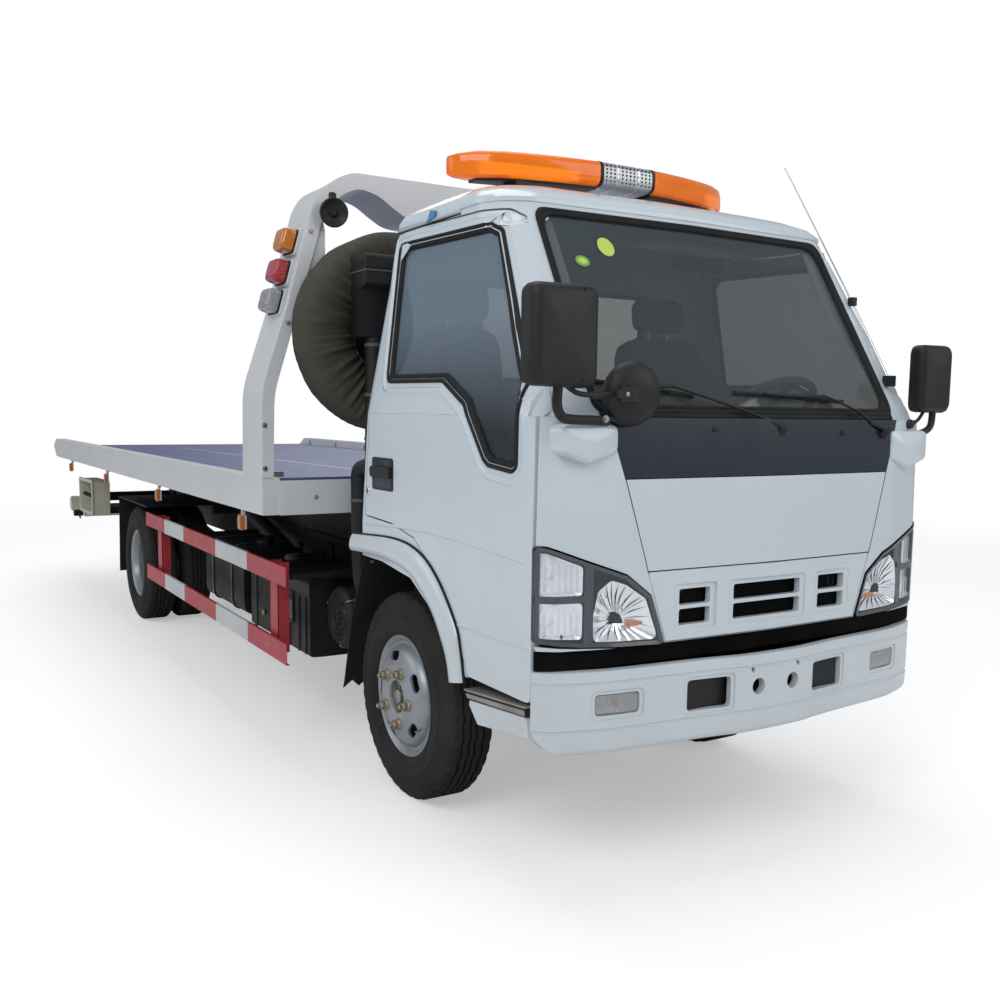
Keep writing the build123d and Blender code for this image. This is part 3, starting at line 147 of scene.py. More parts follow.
DUST = (0.42, 0.38, 0.32)
M = {
    "white": material("white_enamel", (0.63, 0.70, 0.755), 0.22, coat=0.5, rough_vary=0.06,
                      vary=(1.3, (0.57, 0.635, 0.69), 0.5), dust=(DUST, 0.45, 1.25, 0.35),
                      bump=(60, 0.0004, 0.12)),
    "bed_white": material("bed_white", (0.64, 0.655, 0.68), 0.32, coat=0.25, rough_vary=0.08,
                          vary=(2.2, (0.54, 0.55, 0.56), 0.5), bump=(45, 0.0006, 0.15)),
    "blue": material("deck_blue", (0.045, 0.065, 0.21), 0.5, coat=0.05, rough_vary=0.1,
                     vary=(3.0, (0.10, 0.115, 0.22), 0.7), bump=(60, 0.0008, 0.3),
                     wear=(22, (0.17, 0.18, 0.25), 0.68)),
    "chassis": material("chassis_paint", (0.006, 0.006, 0.007), 0.5, rough_vary=0.12, spec=0.3,
                        vary=(5, (0.022, 0.021, 0.02), 0.6), bump=(90, 0.0006, 0.3)),
    "cast": material("cast_iron", (0.10, 0.10, 0.105), 0.65, metal=0.4,
                     vary=(9, (0.16, 0.13, 0.10), 0.6), bump=(140, 0.001, 0.5)),
    "plastic": material("black_plastic", (0.010, 0.010, 0.012), 0.48, bump=(420, 0.0003, 0.3),
                        vary=(4, (0.026, 0.026, 0.028), 0.5), rough_vary=0.08, spec=0.35),
    "gloss_black": material("black_panel", (0.008, 0.014, 0.026), 0.22, coat=0.35,
                            vary=(2, (0.014, 0.024, 0.042), 0.5), rough_vary=0.05),
    "rubber": material("black_rubber", (0.009, 0.009, 0.010), 0.7, bump=(200, 0.0005, 0.25),
                       vary=(6, (0.024, 0.023, 0.022), 0.6), spec=0.3),
    "tyre": material("tyre_rubber", (0.012, 0.012, 0.012), 0.75, bump=(160, 0.0007, 0.3), spec=0.3,
                     vary=(4, (0.035, 0.032, 0.029), 0.6), rough_vary=0.08),
    "rim": material("wheel_enamel", (0.36, 0.39, 0.43), 0.4, metal=0.5, rough_vary=0.1,
                    vary=(8, (0.25, 0.25, 0.25), 0.6), bump=(120, 0.0005, 0.25)),
    "steel": material("bare_steel", (0.42, 0.42, 0.42), 0.42, metal=0.9, rough_vary=0.12,
                      vary=(12, (0.25, 0.22, 0.19), 0.5), bump=(160, 0.0005, 0.25)),
    "chrome": material("chrome", (0.80, 0.81, 0.83), 0.09, metal=1.0, rough_vary=0.04,
                       vary=(8, (0.62, 0.62, 0.64), 0.3)),
    "exhaust": material("exhaust_steel", (0.20, 0.17, 0.14), 0.6, metal=0.6,
                        vary=(11, (0.12, 0.08, 0.06), 0.8), bump=(120, 0.001, 0.4)),
    "beige": material("beige_paint", (0.56, 0.55, 0.44), 0.45, rough_vary=0.1,
                      vary=(6, (0.36, 0.35, 0.28), 0.6), bump=(70, 0.0006, 0.25)),
    "red": material("guard_red", (0.43, 0.028, 0.040), 0.4, rough_vary=0.08,
                    vary=(5, (0.30, 0.04, 0.045), 0.5), bump=(70, 0.0004, 0.2)),
    "guard_white": material("guard_white", (0.56, 0.575, 0.58), 0.4, rough_vary=0.08,
                            vary=(5, (0.44, 0.445, 0.44), 0.5), bump=(70, 0.0004, 0.2)),
    "mat": material("floor_mat", (0.03, 0.03, 0.03), 0.8, bump=(220, 0.001, 0.5),
                    vary=(5, (0.07, 0.068, 0.06), 0.5)),
    "dash": material("dash_plastic", (0.10, 0.10, 0.105), 0.6, bump=(350, 0.0004, 0.4),
                     vary=(4, (0.15, 0.15, 0.15), 0.4)),
    "paper": material("paper", (0.75, 0.76, 0.74), 0.8, vary=(9, (0.6, 0.61, 0.6), 0.4)),
    "green": material("sticker_green", (0.16, 0.42, 0.06), 0.5, vary=(30, (0.25, 0.5, 0.1), 0.4)),
    "lime": material("sticker_lime", (0.55, 0.68, 0.10), 0.5, vary=(30, (0.65, 0.75, 0.3), 0.4)),
    "blue_tape": material("blue_tape", (0.07, 0.25, 0.50), 0.5, vary=(30, (0.12, 0.3, 0.5), 0.4)),
    "brass": material("brass", (0.36, 0.31, 0.20), 0.45, metal=0.7,
                      vary=(14, (0.24, 0.19, 0.11), 0.6)),
    "amber_dome": material("amber_dome", (0.95, 0.26, 0.008), 0.14, coat=0.5, trans=0.5, ior=1.35,
                           vary=(9, (0.80, 0.17, 0.005), 0.7), emit=((1.0, 0.22, 0.0), 0.16)),
    # painted shade: near-black, barely shiny sheets for gaps and openings that only show shade
    "painted_shade": material("painted_shade_black", (0.004, 0.004, 0.004), 0.9, spec=0.05,
                     vary=(6, (0.010, 0.010, 0.010), 0.6)),
    # painted reflection: the reflector's faint cool-white glow stands in for the light it mirrors
    "reflector": material("lamp_reflector", (0.90, 0.92, 0.95), 0.2, metal=0.8, rough_vary=0.08,
                          vary=(18, (0.70, 0.72, 0.76), 0.6), bump=(70, 0.002, 0.6),
                          emit=((0.8, 0.87, 1.0), 0.10)),
    "mesh_steel": material("speaker_mesh", (0.50, 0.51, 0.53), 0.35, metal=0.7, rough_vary=0.08,
                           vary=(20, (0.36, 0.36, 0.38), 0.5)),
    "olive": material("olive_cover", (0.047, 0.048, 0.030), 0.72, bump=(34, 0.004, 0.5),
                      vary=(3.0, (0.027, 0.028, 0.018), 0.7)),
    "zinc": material("galvanised", (0.36, 0.40, 0.33), 0.45, metal=0.6, rough_vary=0.12,
                     vary=(10, (0.22, 0.26, 0.20), 0.7), bump=(60, 0.001, 0.3)),
    "seat": material("seat_cloth", (0.075, 0.08, 0.088), 0.85, bump=(260, 0.0008, 0.5),
                     vary=(5, (0.12, 0.12, 0.125), 0.5)),
    "chequer": material("chequer_plate", (0.36, 0.35, 0.33), 0.5, metal=0.4,
                        bump=(95, 0.003, 0.9), vary=(6, (0.22, 0.20, 0.18), 0.6)),
}


def lens(name, color, trans, rough, ribs=None):
    """Moulded lamp lens: tinted and partly see-through; ribs are (scale, direction)."""
    mat = material(name, color, rough, coat=0.6, trans=trans, ior=1.49,
                   vary=(16, tuple(c * 0.75 for c in color), 0.5))
    if ribs:
        tree = Tree(mat)
        wave = tree.add("TexWave", props={"bands_direction": ribs[1]}, Scale=ribs[0],
                        Vector=tree.add("TexCoord")["Object"])["Fac"]
        tree.set(tree.nodes["Principled BSDF"], Normal=tree.bump(wave, 0.003, 0.8))
    return mat


def glass(name, tint, alpha, rough):
    """Window glass: a tinted see-through sheet with its reflection."""
    mat = bpy.data.materials.new(name)
    tree = Tree(mat)
    cloud = tree.add("TexNoise", Scale=2.5, Detail=5, Vector=tree.add("TexCoord")["Object"])["Fac"]
    tree.set(tree.nodes["Principled BSDF"], Roughness=rough, Alpha=alpha, Specular_IOR_Level=0.9,
             Base_Color=tree.mix(cloud, tint, [c * 1.5 for c in tint]))
    return mat


M.update({
    "amber": lens("amber_lens", (0.90, 0.26, 0.015), 0.35, 0.14),
    "orange_lens": lens("orange_lens", (0.85, 0.25, 0.03), 0.25, 0.2, (60, "Z")),
    "red_lens": lens("red_lens", (0.60, 0.02, 0.03), 0.25, 0.2, (60, "Z")),
    "clear_lens": lens("clear_lens", (0.86, 0.88, 0.90), 0.85, 0.06),
    "ribbed_lens": lens("ribbed_lens", (0.84, 0.86, 0.88), 0.7, 0.08, (45, "Y")),
    "cover_lens": glass("headlamp_cover", (0.75, 0.78, 0.80), 0.07, 0.03),
    "band": glass("shade_band", (0.03, 0.10, 0.11), 0.45, 0.05),
    "glass": glass("window_glass", (0.055, 0.068, 0.070), 0.42, 0.03),
    "side_glass": glass("side_glass", (0.10, 0.12, 0.14), 0.62, 0.03),
})
# painted reflection: the side windows' colour runs from dark ground below to bright sky above
tree = Tree(M["side_glass"])
height = tree.add("SeparateXYZ", Vector=tree.add("TexCoord")["Object"])["Z"]
rise = tree.add("MapRange", Value=height, From_Min=1.40, From_Max=1.75)["Result"]
tree.set(tree.nodes["Principled BSDF"],
         Base_Color=tree.mix(rise, (0.020, 0.028, 0.033), (0.20, 0.27, 0.35)))

SLOT_LOOK = {
    "cab_white": "white", "bed_white": "bed_white", "bed_blue": "blue", "chassis_black": "chassis",
    "cast_grey": "cast", "black_plastic": "plastic", "rubber_black": "rubber",
    "tank_metal": "chassis", "exhaust_metal": "exhaust", "lamp_red": "red_lens",
    "lamp_amber": "amber", "lamp_clear": "clear_lens", "cover_olive": "rubber",
    "box_beige": "beige", "guard_white": "guard_white", "floor_mat": "mat",
    "seat_fabric": "dash", "dash_plastic": "dash", "glass": "glass", "chrome": "chrome",
    "rim_silver": "rim", "tyre": "tyre", "deck_steel": "blue", "cable_steel": "steel",
}
NODE_LOOK = {"door_glass_left": "side_glass", "door_glass_right": "side_glass",
             "bed_frame": "chassis", "tilt_barrels": "chassis"}
slot_of = {s["node"]: s["material_slot"] for s in frame["record"]["subparts"]}


def soften_edges(obj, width, angle, segments=2):
    """Rounds edges sharper than an angle in degrees; width in mm."""
    mod = obj.modifiers.new("edge", "BEVEL")
    mod.width = width / 1000
    mod.segments = segments
    mod.limit_method = "ANGLE"
    mod.angle_limit = radians(angle)


def dress(node, look, bevel=0.0, segments=2, angle=35):
    """Gives a CAD node its material and softened edges."""
    obj = NODES[node]
    obj.data.materials.clear()
    obj.data.materials.append(M[look])
    if bevel:
        soften_edges(obj, bevel, angle, segments)


def linked(name, data):
    """New object in the scene."""
    obj = bpy.data.objects.new(name, data)
    bpy.context.scene.collection.objects.link(obj)
    return obj


# ---- camera, light, floor -----------------------------------------------------------------
CAMERA_AT = Vector((5.793, -2.405, 1.443))
YAW = radians(148.73)
PITCH = radians(-6.32)
ROLL = radians(0.72)
cam_data = bpy.data.cameras.new("camera")
cam_data.lens = 36.8
cam_data.sensor_width = 36
cam_data.shift_x = 0.003
cam_data.shift_y = 0.0244
cam_data.clip_end = 200
cam = linked("camera", cam_data)
ahead = Vector((cos(PITCH) * cos(YAW), cos(PITCH) * sin(YAW), sin(PITCH)))
right = ahead.cross(Vector((0, 0, 1))).normalized()
up = right.cross(ahead)
right, up = cos(ROLL) * right + sin(ROLL) * up, cos(ROLL) * up - sin(ROLL) * right
cam.matrix_world = Matrix(((right.x, up.x, -ahead.x, CAMERA_AT.x),
                           (right.y, up.y, -ahead.y, CAMERA_AT.y),
                           (right.z, up.z, -ahead.z, CAMERA_AT.z), (0, 0, 0, 1)))
bpy.context.scene.camera = cam


def lamp(name, place, aim, size, power):
    data = bpy.data.lights.new(name, "AREA")
    data.shape = "RECTANGLE"
    data.size, data.size_y = size
    data.energy = power
    obj = linked(name, data)
    obj.location = place
    obj.rotation_euler = (Vector(aim) - Vector(place)).to_track_quat("-Z", "Y").to_euler()


lamp("key", (7.5, -7.5, 7.5), (0.5, 0, 1.0), (6, 5), 375)
lamp("fill", (9.5, 4.5, 5.0), (1.5, 0, 1.0), (6, 6), 205)
lamp("side", (-3.0, -9.0, 5.0), (-1, 0, 1.0), (7, 5), 135)
lamp("top", (0, 0, 8.5), (0, 0, 0), (8, 5), 215)
lamp("back", (-8.5, 5.0, 6.0), (-1, 0, 1), (6, 5), 160)

bpy.ops.mesh.primitive_plane_add(size=120, location=(0, 0, 0))
floor = bpy.context.object
floor.name = "floor"
floor_mat = bpy.data.materials.new("floor")
tree = Tree(floor_mat)
shader = tree.nodes["Principled BSDF"]
tree.set(shader, Base_Color=(0.80, 0.80, 0.80, 1), Roughness=0.9)
# what the camera sees of the floor is lifted a little and fades to white far away
away = tree.add("VectorMath", tree.add("NewGeometry")["Position"],
                props={"operation": "LENGTH"})["Value"]
fade = tree.add("MapRange", props={"interpolation_type": "SMOOTHSTEP"}, Value=away, From_Min=4.5,
                From_Max=11.0)["Result"]
glow = tree.add("Emission", Color=(0.93, 0.93, 0.93, 1), Strength=0.42)[0]
bright = tree.add("Emission", Color=(1, 1, 1, 1))[0]
lifted = tree.add("AddShader", shader.outputs[0], glow)[0]
far = tree.add("MixShader", fade, lifted, bright)[0]
seen = tree.add("LightPath")["Is Camera Ray"]
tree.set(tree.nodes["Material Output"],
         Surface=tree.add("MixShader", seen, shader.outputs[0], far)[0])
floor.data.materials.append(floor_mat)

world = bpy.data.worlds.new("world")
bpy.context.scene.world = world
tree = Tree(world)
sky = tree.nodes["Background"]
tree.set(sky, Color=(0.80, 0.84, 0.88, 1), Strength=0.42)
white = tree.add("Background", Color=(1, 1, 1, 1), Strength=1.0)[0]
seen = tree.add("LightPath")["Is Camera Ray"]
tree.set(tree.nodes["World Output"],
         Surface=tree.add("MixShader", seen, sky.outputs[0], white)[0])
bpy.context.scene.view_settings.view_transform = "Standard"


def plane_point(plane, a, b, c):
    """Point from (station, z), (y, z) or (station, y), and c across that plane, in mm."""
    return {"xz": P(a, c, b), "yz": P(c, a, b), "xy": P(a, b, c)}[plane]


def upright(axis):
    """A direction that is well away from an axis."""
    return Vector((0, 0, 1)) if abs(axis.z) < 0.9 else Vector((1, 0, 0))


def heading(path, i, closed):
    """Direction of a path at its point i."""
    n = len(path)
    before = path[i - 1] if i > 0 or closed else path[i]
    after = path[(i + 1) % n] if i < n - 1 or closed else path[i]
    return (after - before).normalized()


def strips(count, n, start=0, looped=False, wrap=True, caps=False):
    """Faces between count rings of n points; looped joins the last ring to the first one."""
    faces = []
    for i in range(count if looped else count - 1):
        a, b = start + i * n, start + (i + 1) % count * n
        faces += [[a + k, a + (k + 1) % n, b + (k + 1) % n, b + k]
                  for k in range(n if wrap else n - 1)]
    if caps:
        faces += [list(range(start, start + n))[::-1],
                  [start + (count - 1) * n + k for k in range(n)]]
    return faces


def cleaned(mesh, weld=True):
    """Joins doubled points and turns the faces outwards."""
    bm = bmesh.new()
    bm.from_mesh(mesh)
    if weld:
        bmesh.ops.remove_doubles(bm, verts=bm.verts, dist=1e-6)
    bmesh.ops.recalc_face_normals(bm, faces=bm.faces)
    bm.to_mesh(mesh)
    bm.free()


def smoothed(mesh, angle):
    mesh.polygons.foreach_set("use_smooth", [True] * len(mesh.polygons))
    mesh.set_sharp_from_angle(angle=radians(angle))


def hand_in(obj, body, replaces):
    """Gives a piece its body and the CAD nodes that it stands for."""
    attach(obj, body)
    if replaces:
        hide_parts(*replaces)
        DONE.update(replaces)
    return obj


class Shape:
    """One piece of the scene, gathered from simple parts, each with its own look."""

    def __init__(self, name, body):
        self.name, self.body = name, body
        self.verts, self.faces, self.face_look, self.looks = [], [], [], []

    def add(self, verts, faces, look):
        base = len(self.verts)
        self.verts += [Vector(v) for v in verts]
        if look not in self.looks:
            self.looks.append(look)
        self.faces += [[base + i for i in face] for face in faces]
        self.face_look += [self.looks.index(look)] * len(faces)
        return self

    def loft(self, rings, look, looped=False, caps=True):
        """Skin over rings of as many points each."""
        faces = strips(len(rings), len(rings[0]), looped=looped, caps=caps and not looped)
        return self.add([p for line in rings for p in line], faces, look)

    def prism(self, outline, plane, lo, hi, look):
        """Outline in mm, (station, z), (y, z) or (station, y), pushed out between lo and hi."""
        n = len(outline)
        verts = [plane_point(plane, a, b, c) for c in sorted((lo, hi)) for a, b in outline]
        return self.add(verts, [list(range(n))[::-1], list(range(n, 2 * n))] + strips(2, n), look)

    def box(self, x0, x1, y0, y1, z0, z1, look):
        return self.prism(rect(x0, x1, z0, z1), "xz", y0, y1, look)

    def lathe(self, rows, centre, axis, look, seg=48, wobble=None):
        """Profile of (radius, distance) rows in mm, turned about an axis."""
        axis = Vector(axis).normalized()
        e1 = axis.cross(upright(axis)).normalized()
        e2 = axis.cross(e1)
        c = P(*centre)
        verts = []
        for a in angles(seg):
            for r, d in rows:
                dr, dd = wobble(a, r, d) if wobble else (0, 0)
                verts.append(c + axis * ((d + dd) / 1000)
                             + (e1 * cos(a) + e2 * sin(a)) * ((r + dr) / 1000))
        return self.add(verts, strips(seg, len(rows), looped=True, wrap=False), look)

    def tube(self, points, radius, look, seg=12, smooth=6, closed=False, flat=1.0, metres=False):
        """Round bar along a smoothed path of points; radius in mm, one value or one a point."""
        pts = [Vector(p) if metres else P(*p) for p in points]
        radii = list(radius) if hasattr(radius, "__len__") else [radius] * len(pts)
        pts, radii = curve_through(pts, radii, smooth, closed)
        rings = []
        normal = None
        for i, p in enumerate(pts):
            t = heading(pts, i, closed)
            if normal is None:
                normal = t.cross(upright(t)).normalized()
            normal = (normal - t * normal.dot(t)).normalized()
            side = t.cross(normal)
            rings.append([p + (normal * cos(a) + side * sin(a) * flat) * (radii[i] / 1000)
                          for a in angles(seg)])
        return self.loft(rings, look, closed)

    def ball(self, centre, r, look, seg=20, flat=(1, 1, 1)):
        rows = 12
        rings = []
        for i in range(rows + 1):
            b = pi * i / rows
            rings.append([P(*centre) + Vector((sin(b) * cos(a) * flat[0], sin(b) * sin(a) * flat[1],
                                               cos(b) * flat[2])) * (r / 1000)
                          for a in angles(seg)])
        return self.loft(rings, look, caps=False)

    def bead(self, path, normals, profile, look, closed=True):
        """Moulding along a path on a surface; profile rows are (sideways, outwards) in mm."""
        rings = []
        for i, p in enumerate(path):
            side = heading(path, i, closed).cross(normals[i]).normalized()
            rings.append([p + side * (s / 1000) + normals[i] * (h / 1000) for s, h in profile])
        return self.loft(rings, look, closed)

    def bolt(self, centre, axis, r, h, look="steel", washer=True):
        """Hexagon head on a washer."""
        if washer:
            self.lathe(((0, 0), (r * 1.35, 0), (r * 1.35, h * 0.2), (0, h * 0.2)), centre, axis,
                       look, 20)
        return self.lathe(((0, h * 0.2), (r, h * 0.2), (r, h * 0.85), (r * 0.82, h), (0, h)),
                          centre, axis, look, 6)

    def mirror(self):
        """Adds the same parts on the other side of the truck."""
        base = len(self.verts)
        self.verts += [Vector((v.x, -v.y, v.z)) for v in self.verts]
        self.faces += [[base + k for k in reversed(face)] for face in self.faces]
        self.face_look *= 2

    def flip(self):
        """Moves the parts to the other side of the truck."""
        for v in self.verts:
            v.y = -v.y

    def finish(self, bevel=0.0, segments=2, smooth=40, subsurf=0, replaces=(), slot=None):
        mesh = bpy.data.meshes.new(self.name)
        mesh.from_pydata([tuple(v) for v in self.verts], [], self.faces)
        for look in self.looks:
            mesh.materials.append(M[look])
        mesh.polygons.foreach_set("material_index", self.face_look)
        cleaned(mesh)
        smoothed(mesh, smooth)
        obj = linked(self.name, mesh)
        if bevel:
            soften_edges(obj, bevel, 38, segments)
        if subsurf:
            mod = obj.modifiers.new("round", "SUBSURF")
            mod.levels = mod.render_levels = subsurf
        return hand_in(obj, self.body,
                       replaces)


def rect(a0, a1, b0, b1):
    return (a0, b0), (a1, b0), (a1, b1), (a0, b1)


def curve_through(pts, radii, steps, closed):
    """Catmull-Rom curve through the points, with the radii carried along."""
    if steps <= 1 or len(pts) < 3:
        return pts, radii
    n = len(pts)
    out, out_r = [], []
    spans = n if closed else n - 1
    for i in range(spans):
        p0 = pts[i - 1] if (i > 0 or closed) else pts[i] * 2 - pts[i + 1]
        p1, p2 = pts[i], pts[(i + 1) % n]
        p3 = pts[(i + 2) % n] if (i + 2 < n or closed) else p2 * 2 - p1
        for k in range(steps):
            t = k / steps
            out.append(0.5 * ((2 * p1) + (p2 - p0) * t + (2 * p0 - 5 * p1 + 4 * p2 - p3) * t * t
                              + (3 * p1 - p0 - 3 * p2 + p3) * t ** 3))
            out_r.append(radii[i] * (1 - t) + radii[(i + 1) % n] * t)
    if not closed:
        out.append(pts[-1])
        out_r.append(radii[-1])
    return out, out_r


def curved(points, steps=8):
    """Smooth open line through (a, b) points."""
    line, _ = curve_through([Vector((a, b, 0)) for a, b in points], [1] * len(points), steps,
                            False)
    return [(p.x, p.y) for p in line]


def rounded(outline, r, n=5):
    """Closed outline with its corners rounded to radius r (one value, or one a corner)."""
    pts = [Vector(p) for p in outline]
    radii = list(r) if hasattr(r, "__len__") else [r] * len(pts)
    out = []
    for i, p in enumerate(pts):
        a, b = pts[i - 1] - p, pts[(i + 1) % len(pts)] - p
        la, lb = a.length, b.length
        a, b = a / la, b / lb
        half = max(1e-3, a.angle(b) / 2)
        cut = min(radii[i] / max(0.05, abs(sin(half) / cos(half))), la * 0.45, lb * 0.45)
        q0, q1 = p + a * cut, p + b * cut
        for k in range(n + 1):
            t = k / n
            out.append(tuple(q0 * (1 - t) ** 2 + p * 2 * t * (1 - t) + q1 * t * t))
    return out


def resampled(outline, step, closed=True):
    """Points at even steps along an outline."""
    pts = [Vector(p) for p in outline]
    if closed:
        pts.append(pts[0])
    out = []
    for a, b in zip(pts[:-1], pts[1:]):
        n = max(1, int((b - a).length / step + 0.5))
        out += [tuple(a.lerp(b, k / n)) for k in range(n)]
    if not closed:
        out.append(tuple(pts[-1]))
    return out


def offset(outline, d):
    """Closed outline moved outwards by d (inwards if negative)."""
    n = len(outline)
    area = sum(outline[i][0] * outline[(i + 1) % n][1] - outline[(i + 1) % n][0] * outline[i][1]
               for i in range(n))
    s = 1 if area > 0 else -1
    out = []
    for i in range(n):
        a, p, b = (Vector(outline[i - 1]), Vector(outline[i]), Vector(outline[(i + 1) % n]))
        u, v = (p - a).normalized(), (b - p).normalized()
        nrm = Vector((u.y + v.y, -u.x - v.x)) * s
        k = 2 / nrm.length_squared if nrm.length_squared > 0.5 else 1.4
        out.append(tuple(p + nrm * (d * k)))
    return out


def middle(outline):
    """Mean of an outline's points."""
    return Vector([sum(p[k] for p in outline) / len(outline) for k in (0, 1)])


def skin(*names):
    """Ray-casting tree over CAD nodes."""
    verts, faces = [], []
    for name in names:
        mesh = NODES[name].data
        base = len(verts)
        verts += [v.co.copy() for v in mesh.vertices]
        faces += [[base + i for i in p.vertices] for p in mesh.polygons]
    return BVHTree.FromPolygons(verts, faces)


VIEWS = {"front": ("yz", 1500, (-1, 0, 0)), "back": ("yz", -900, (1, 0, 0)),
         "right": ("xz", -1500, (0, 1, 0))}


def on_skin(outline, view, lift=0.0):
    """Points of an outline dropped on the cab's skin; view is 'front', 'back' or 'right'."""
    plane, start, way = VIEWS[view]
    way = Vector(way)
    path, normals = [], []
    for a, b in outline:
        eye = plane_point(plane, a, b, start)
        hit, normal, _, _ = SKIN.ray_cast(eye, way)
        if hit is None:
            hit, normal, _, _ = SKIN.find_nearest(eye)
        if normal.dot(way) > 0:
            normal = -normal
        path.append(hit + normal * (lift / 1000))
        normals.append(normal)
    return path, normals


def softened(normals, closed, rounds=3):
    out = [n.copy() for n in normals]
    for _ in range(rounds):
        new = []
        for i, v in enumerate(out):
            a = out[i - 1] if (i > 0 or closed) else v
            b = out[(i + 1) % len(out)] if (i < len(out) - 1 or closed) else v
            new.append((a + b + v * 2).normalized())
        out = new
    return out


def patch(shape, outline, view, lift, look, rings=4):
    """Thin sheet lying on the skin inside an outline."""
    c = middle(outline)
    verts = []
    for k in range(rings + 1):
        share = 1 - k / rings if k < rings else 0.02
        verts += on_skin([tuple(c.lerp(Vector(p), share)) for p in outline], view, lift)[0]
    n = len(outline)
    return shape.add(verts, strips(rings + 1, n) + [[rings * n + i for i in range(n)]], look)


def moulding(shape, points, step, profile, look, rounds=3):
    """Bead along a line on the front."""
    line, nrm = on_skin(resampled(points, step, False), "front")
    shape.bead(line, softened(nrm, False, rounds), profile, look, closed=False)


# ---- cab skin -----------------------------------------------------------------------------
# z, rear x, half width, side end x, corner x, corner y, brow x, brow y, nose x
LOWER_ROWS = (
    (600, -290, 835, 958, 1004, 770, 1046, 600, 1068),
    (1020, -290, 835, 958, 1004, 770, 1044, 590, 1066),
    (1430, -238, 835, 950, 992, 775, 1030, 600, 1048),
)
GLASS_ROWS = (
    (1430, -238, 835, 918, 966, 782, 998, 650, 1020),
    (2100, -152, 742, 490, 562, 706, 604, 630, 628),
)
ROOF_ROWS = (
    (2094, -152, 748, 486, 566, 711, 610, 636, 634),
    (2108, -152, 749, 486, 566, 712, 610, 636, 634),
    (2134, -140, 734, 458, 536, 694, 583, 612, 606),
    (2162, -114, 692, 398, 470, 650, 520, 560, 545),
    (2184, -78, 636, 334, 400, 588, 446, 500, 470),
    (2198, -40, 566, 268, 328, 520, 368, 440, 390),
    (2204, 0, 470, 190, 240, 430, 276, 360, 296),
)
RING_ROUND = (40, 55, 90, 90, 320, 2000)
ARCH = ((-330, 480), (-330, 893), (-45, 890), (190, 862), (345, 780), (470, 665), (558, 560),
        (558, 480))
DOOR = ((-190, 1050), (40, 1040), (215, 1008), (372, 905), (505, 775), (600, 607), (952, 607),
        (952, 1445), (620, 2040), (590, 2062), (-60, 2080), (-88, 2050), (-150, 1430))
WINDOW = ((-22, 1552), (-52, 2026), (560, 2010), (598, 1990), (846, 1560), (868, 1530),
          (864, 1290), (845, 1278), (715, 1290), (690, 1305), (560, 1470), (394, 1548))
LAMP = ((417, 757), (471, 908), (560, 975), (676, 1016), (800, 1062), (832, 1068), (832, 783),
        (711, 770))
GARNISH = ((567, 1254), (600, 1352), (622, 1432), (-622, 1432), (-600, 1352), (-567, 1254))
GRILLE = ((412, 765), (482, 978), (-482, 978), (-412, 765))
SCREEN = ((640, 1452), (618, 2066), (-618, 2066), (-640, 1452))
REAR_WINDOW = ((460, 1560), (460, 1940), (-460, 1940), (-460, 1560))


def row_at(rows, z):
    """Section row at any height between the first and last one."""
    for a, b in zip(rows[:-1], rows[1:]):
        if z <= b[0] or b is rows[-1]:
            t = (z - a[0]) / (b[0] - a[0])
            return tuple(p + (q - p) * t for p, q in zip(a, b))


def ring(row, inset=0):
    """Closed plan outline of the cab, corners rounded, as (station, y)."""
    z, xr, yw, x3, x4, y4, x5, y5, xn = row
    t = inset
    half = ((xr + t, yw - 60 - t), (xr + 60, yw - t), (x3, yw - t), (x4 - 0.75 * t, y4 - 0.75 * t),
            (x5 - t, y5 - 0.3 * t), (xn - t, 0))
    pts = list(half) + [(x, -y) for x, y in reversed(half[:-1])]
    radii = list(RING_ROUND) + list(reversed(RING_ROUND[:-1]))
    return rounded(pts, radii, 8)


def shell_mesh(rows, heights, thick):
    """Closed wall between two rings, open at top and bottom, as verts and faces."""
    verts = []
    for inset in (0, thick):
        for z in heights:
            verts += [P(x, y, z) for x, y in ring(row_at(rows, z), inset)]
    m = len(heights)
    n = len(verts) // (2 * m)
    base, top = m * n, (m - 1) * n
    faces = strips(m, n) + [face[::-1] for face in strips(m, n, start=base)]
    for i in range(n):
        j = (i + 1) % n
        faces += [[j, i, base + i, base + j], [top + i, top + j, base + top + j, base + top + i]]
    return verts, faces


def raw(name, parts):
    """Plain mesh object for cutting, from (verts, faces) pairs."""
    verts, faces = [], []
    for v, f in parts:
        base = len(verts)
        verts += v
        faces += [[base + i for i in face] for face in f]
    mesh = bpy.data.meshes.new(name)
    mesh.from_pydata([tuple(v) for v in verts], [], faces)
    cleaned(mesh, weld=False)
    return linked(name, mesh)


def joined(name, sources):
    """One working object out of several, which are used up."""
    bm = bmesh.new()
    for source in sources:
        bm.from_mesh(source.data)
        bpy.data.objects.remove(source)
    obj = raw(name, [])
    bm.to_mesh(obj.data)
    bm.free()
    return obj


def block(outline, plane, lo, hi):
    s = Shape("cutter", "chassis").prism(outline, plane, lo, hi, "white")
    return s.verts, s.faces


def cut(obj, parts, how="DIFFERENCE"):
    """Boolean on a working object, applied at once. Overlapping cutters go in one by one."""
    tool = raw("tool", parts)
    mod = obj.modifiers.new("cut", "BOOLEAN")
    mod.operation = how
    mod.solver = "EXACT"
    mod.object = tool
    bpy.context.view_layer.update()
    done = bpy.data.meshes.new_from_object(
        obj.evaluated_get(bpy.context.evaluated_depsgraph_get()))
    obj.modifiers.clear()
    old = obj.data
    obj.data = done
    bpy.data.meshes.remove(old)
    bpy.data.objects.remove(tool)
    return obj


def carve(obj, outline, plane, lo, hi, how="DIFFERENCE"):
    """Cuts a prism out of a working object, or keeps only what is in it."""
    return cut(obj, [block(outline, plane, lo, hi)], how)


def keep(source, name, outline, plane, lo, hi):
    """New working object: what of a source is in a prism."""
    new = linked(name, source.data.copy())
    return carve(new, outline, plane, lo, hi, "INTERSECT")


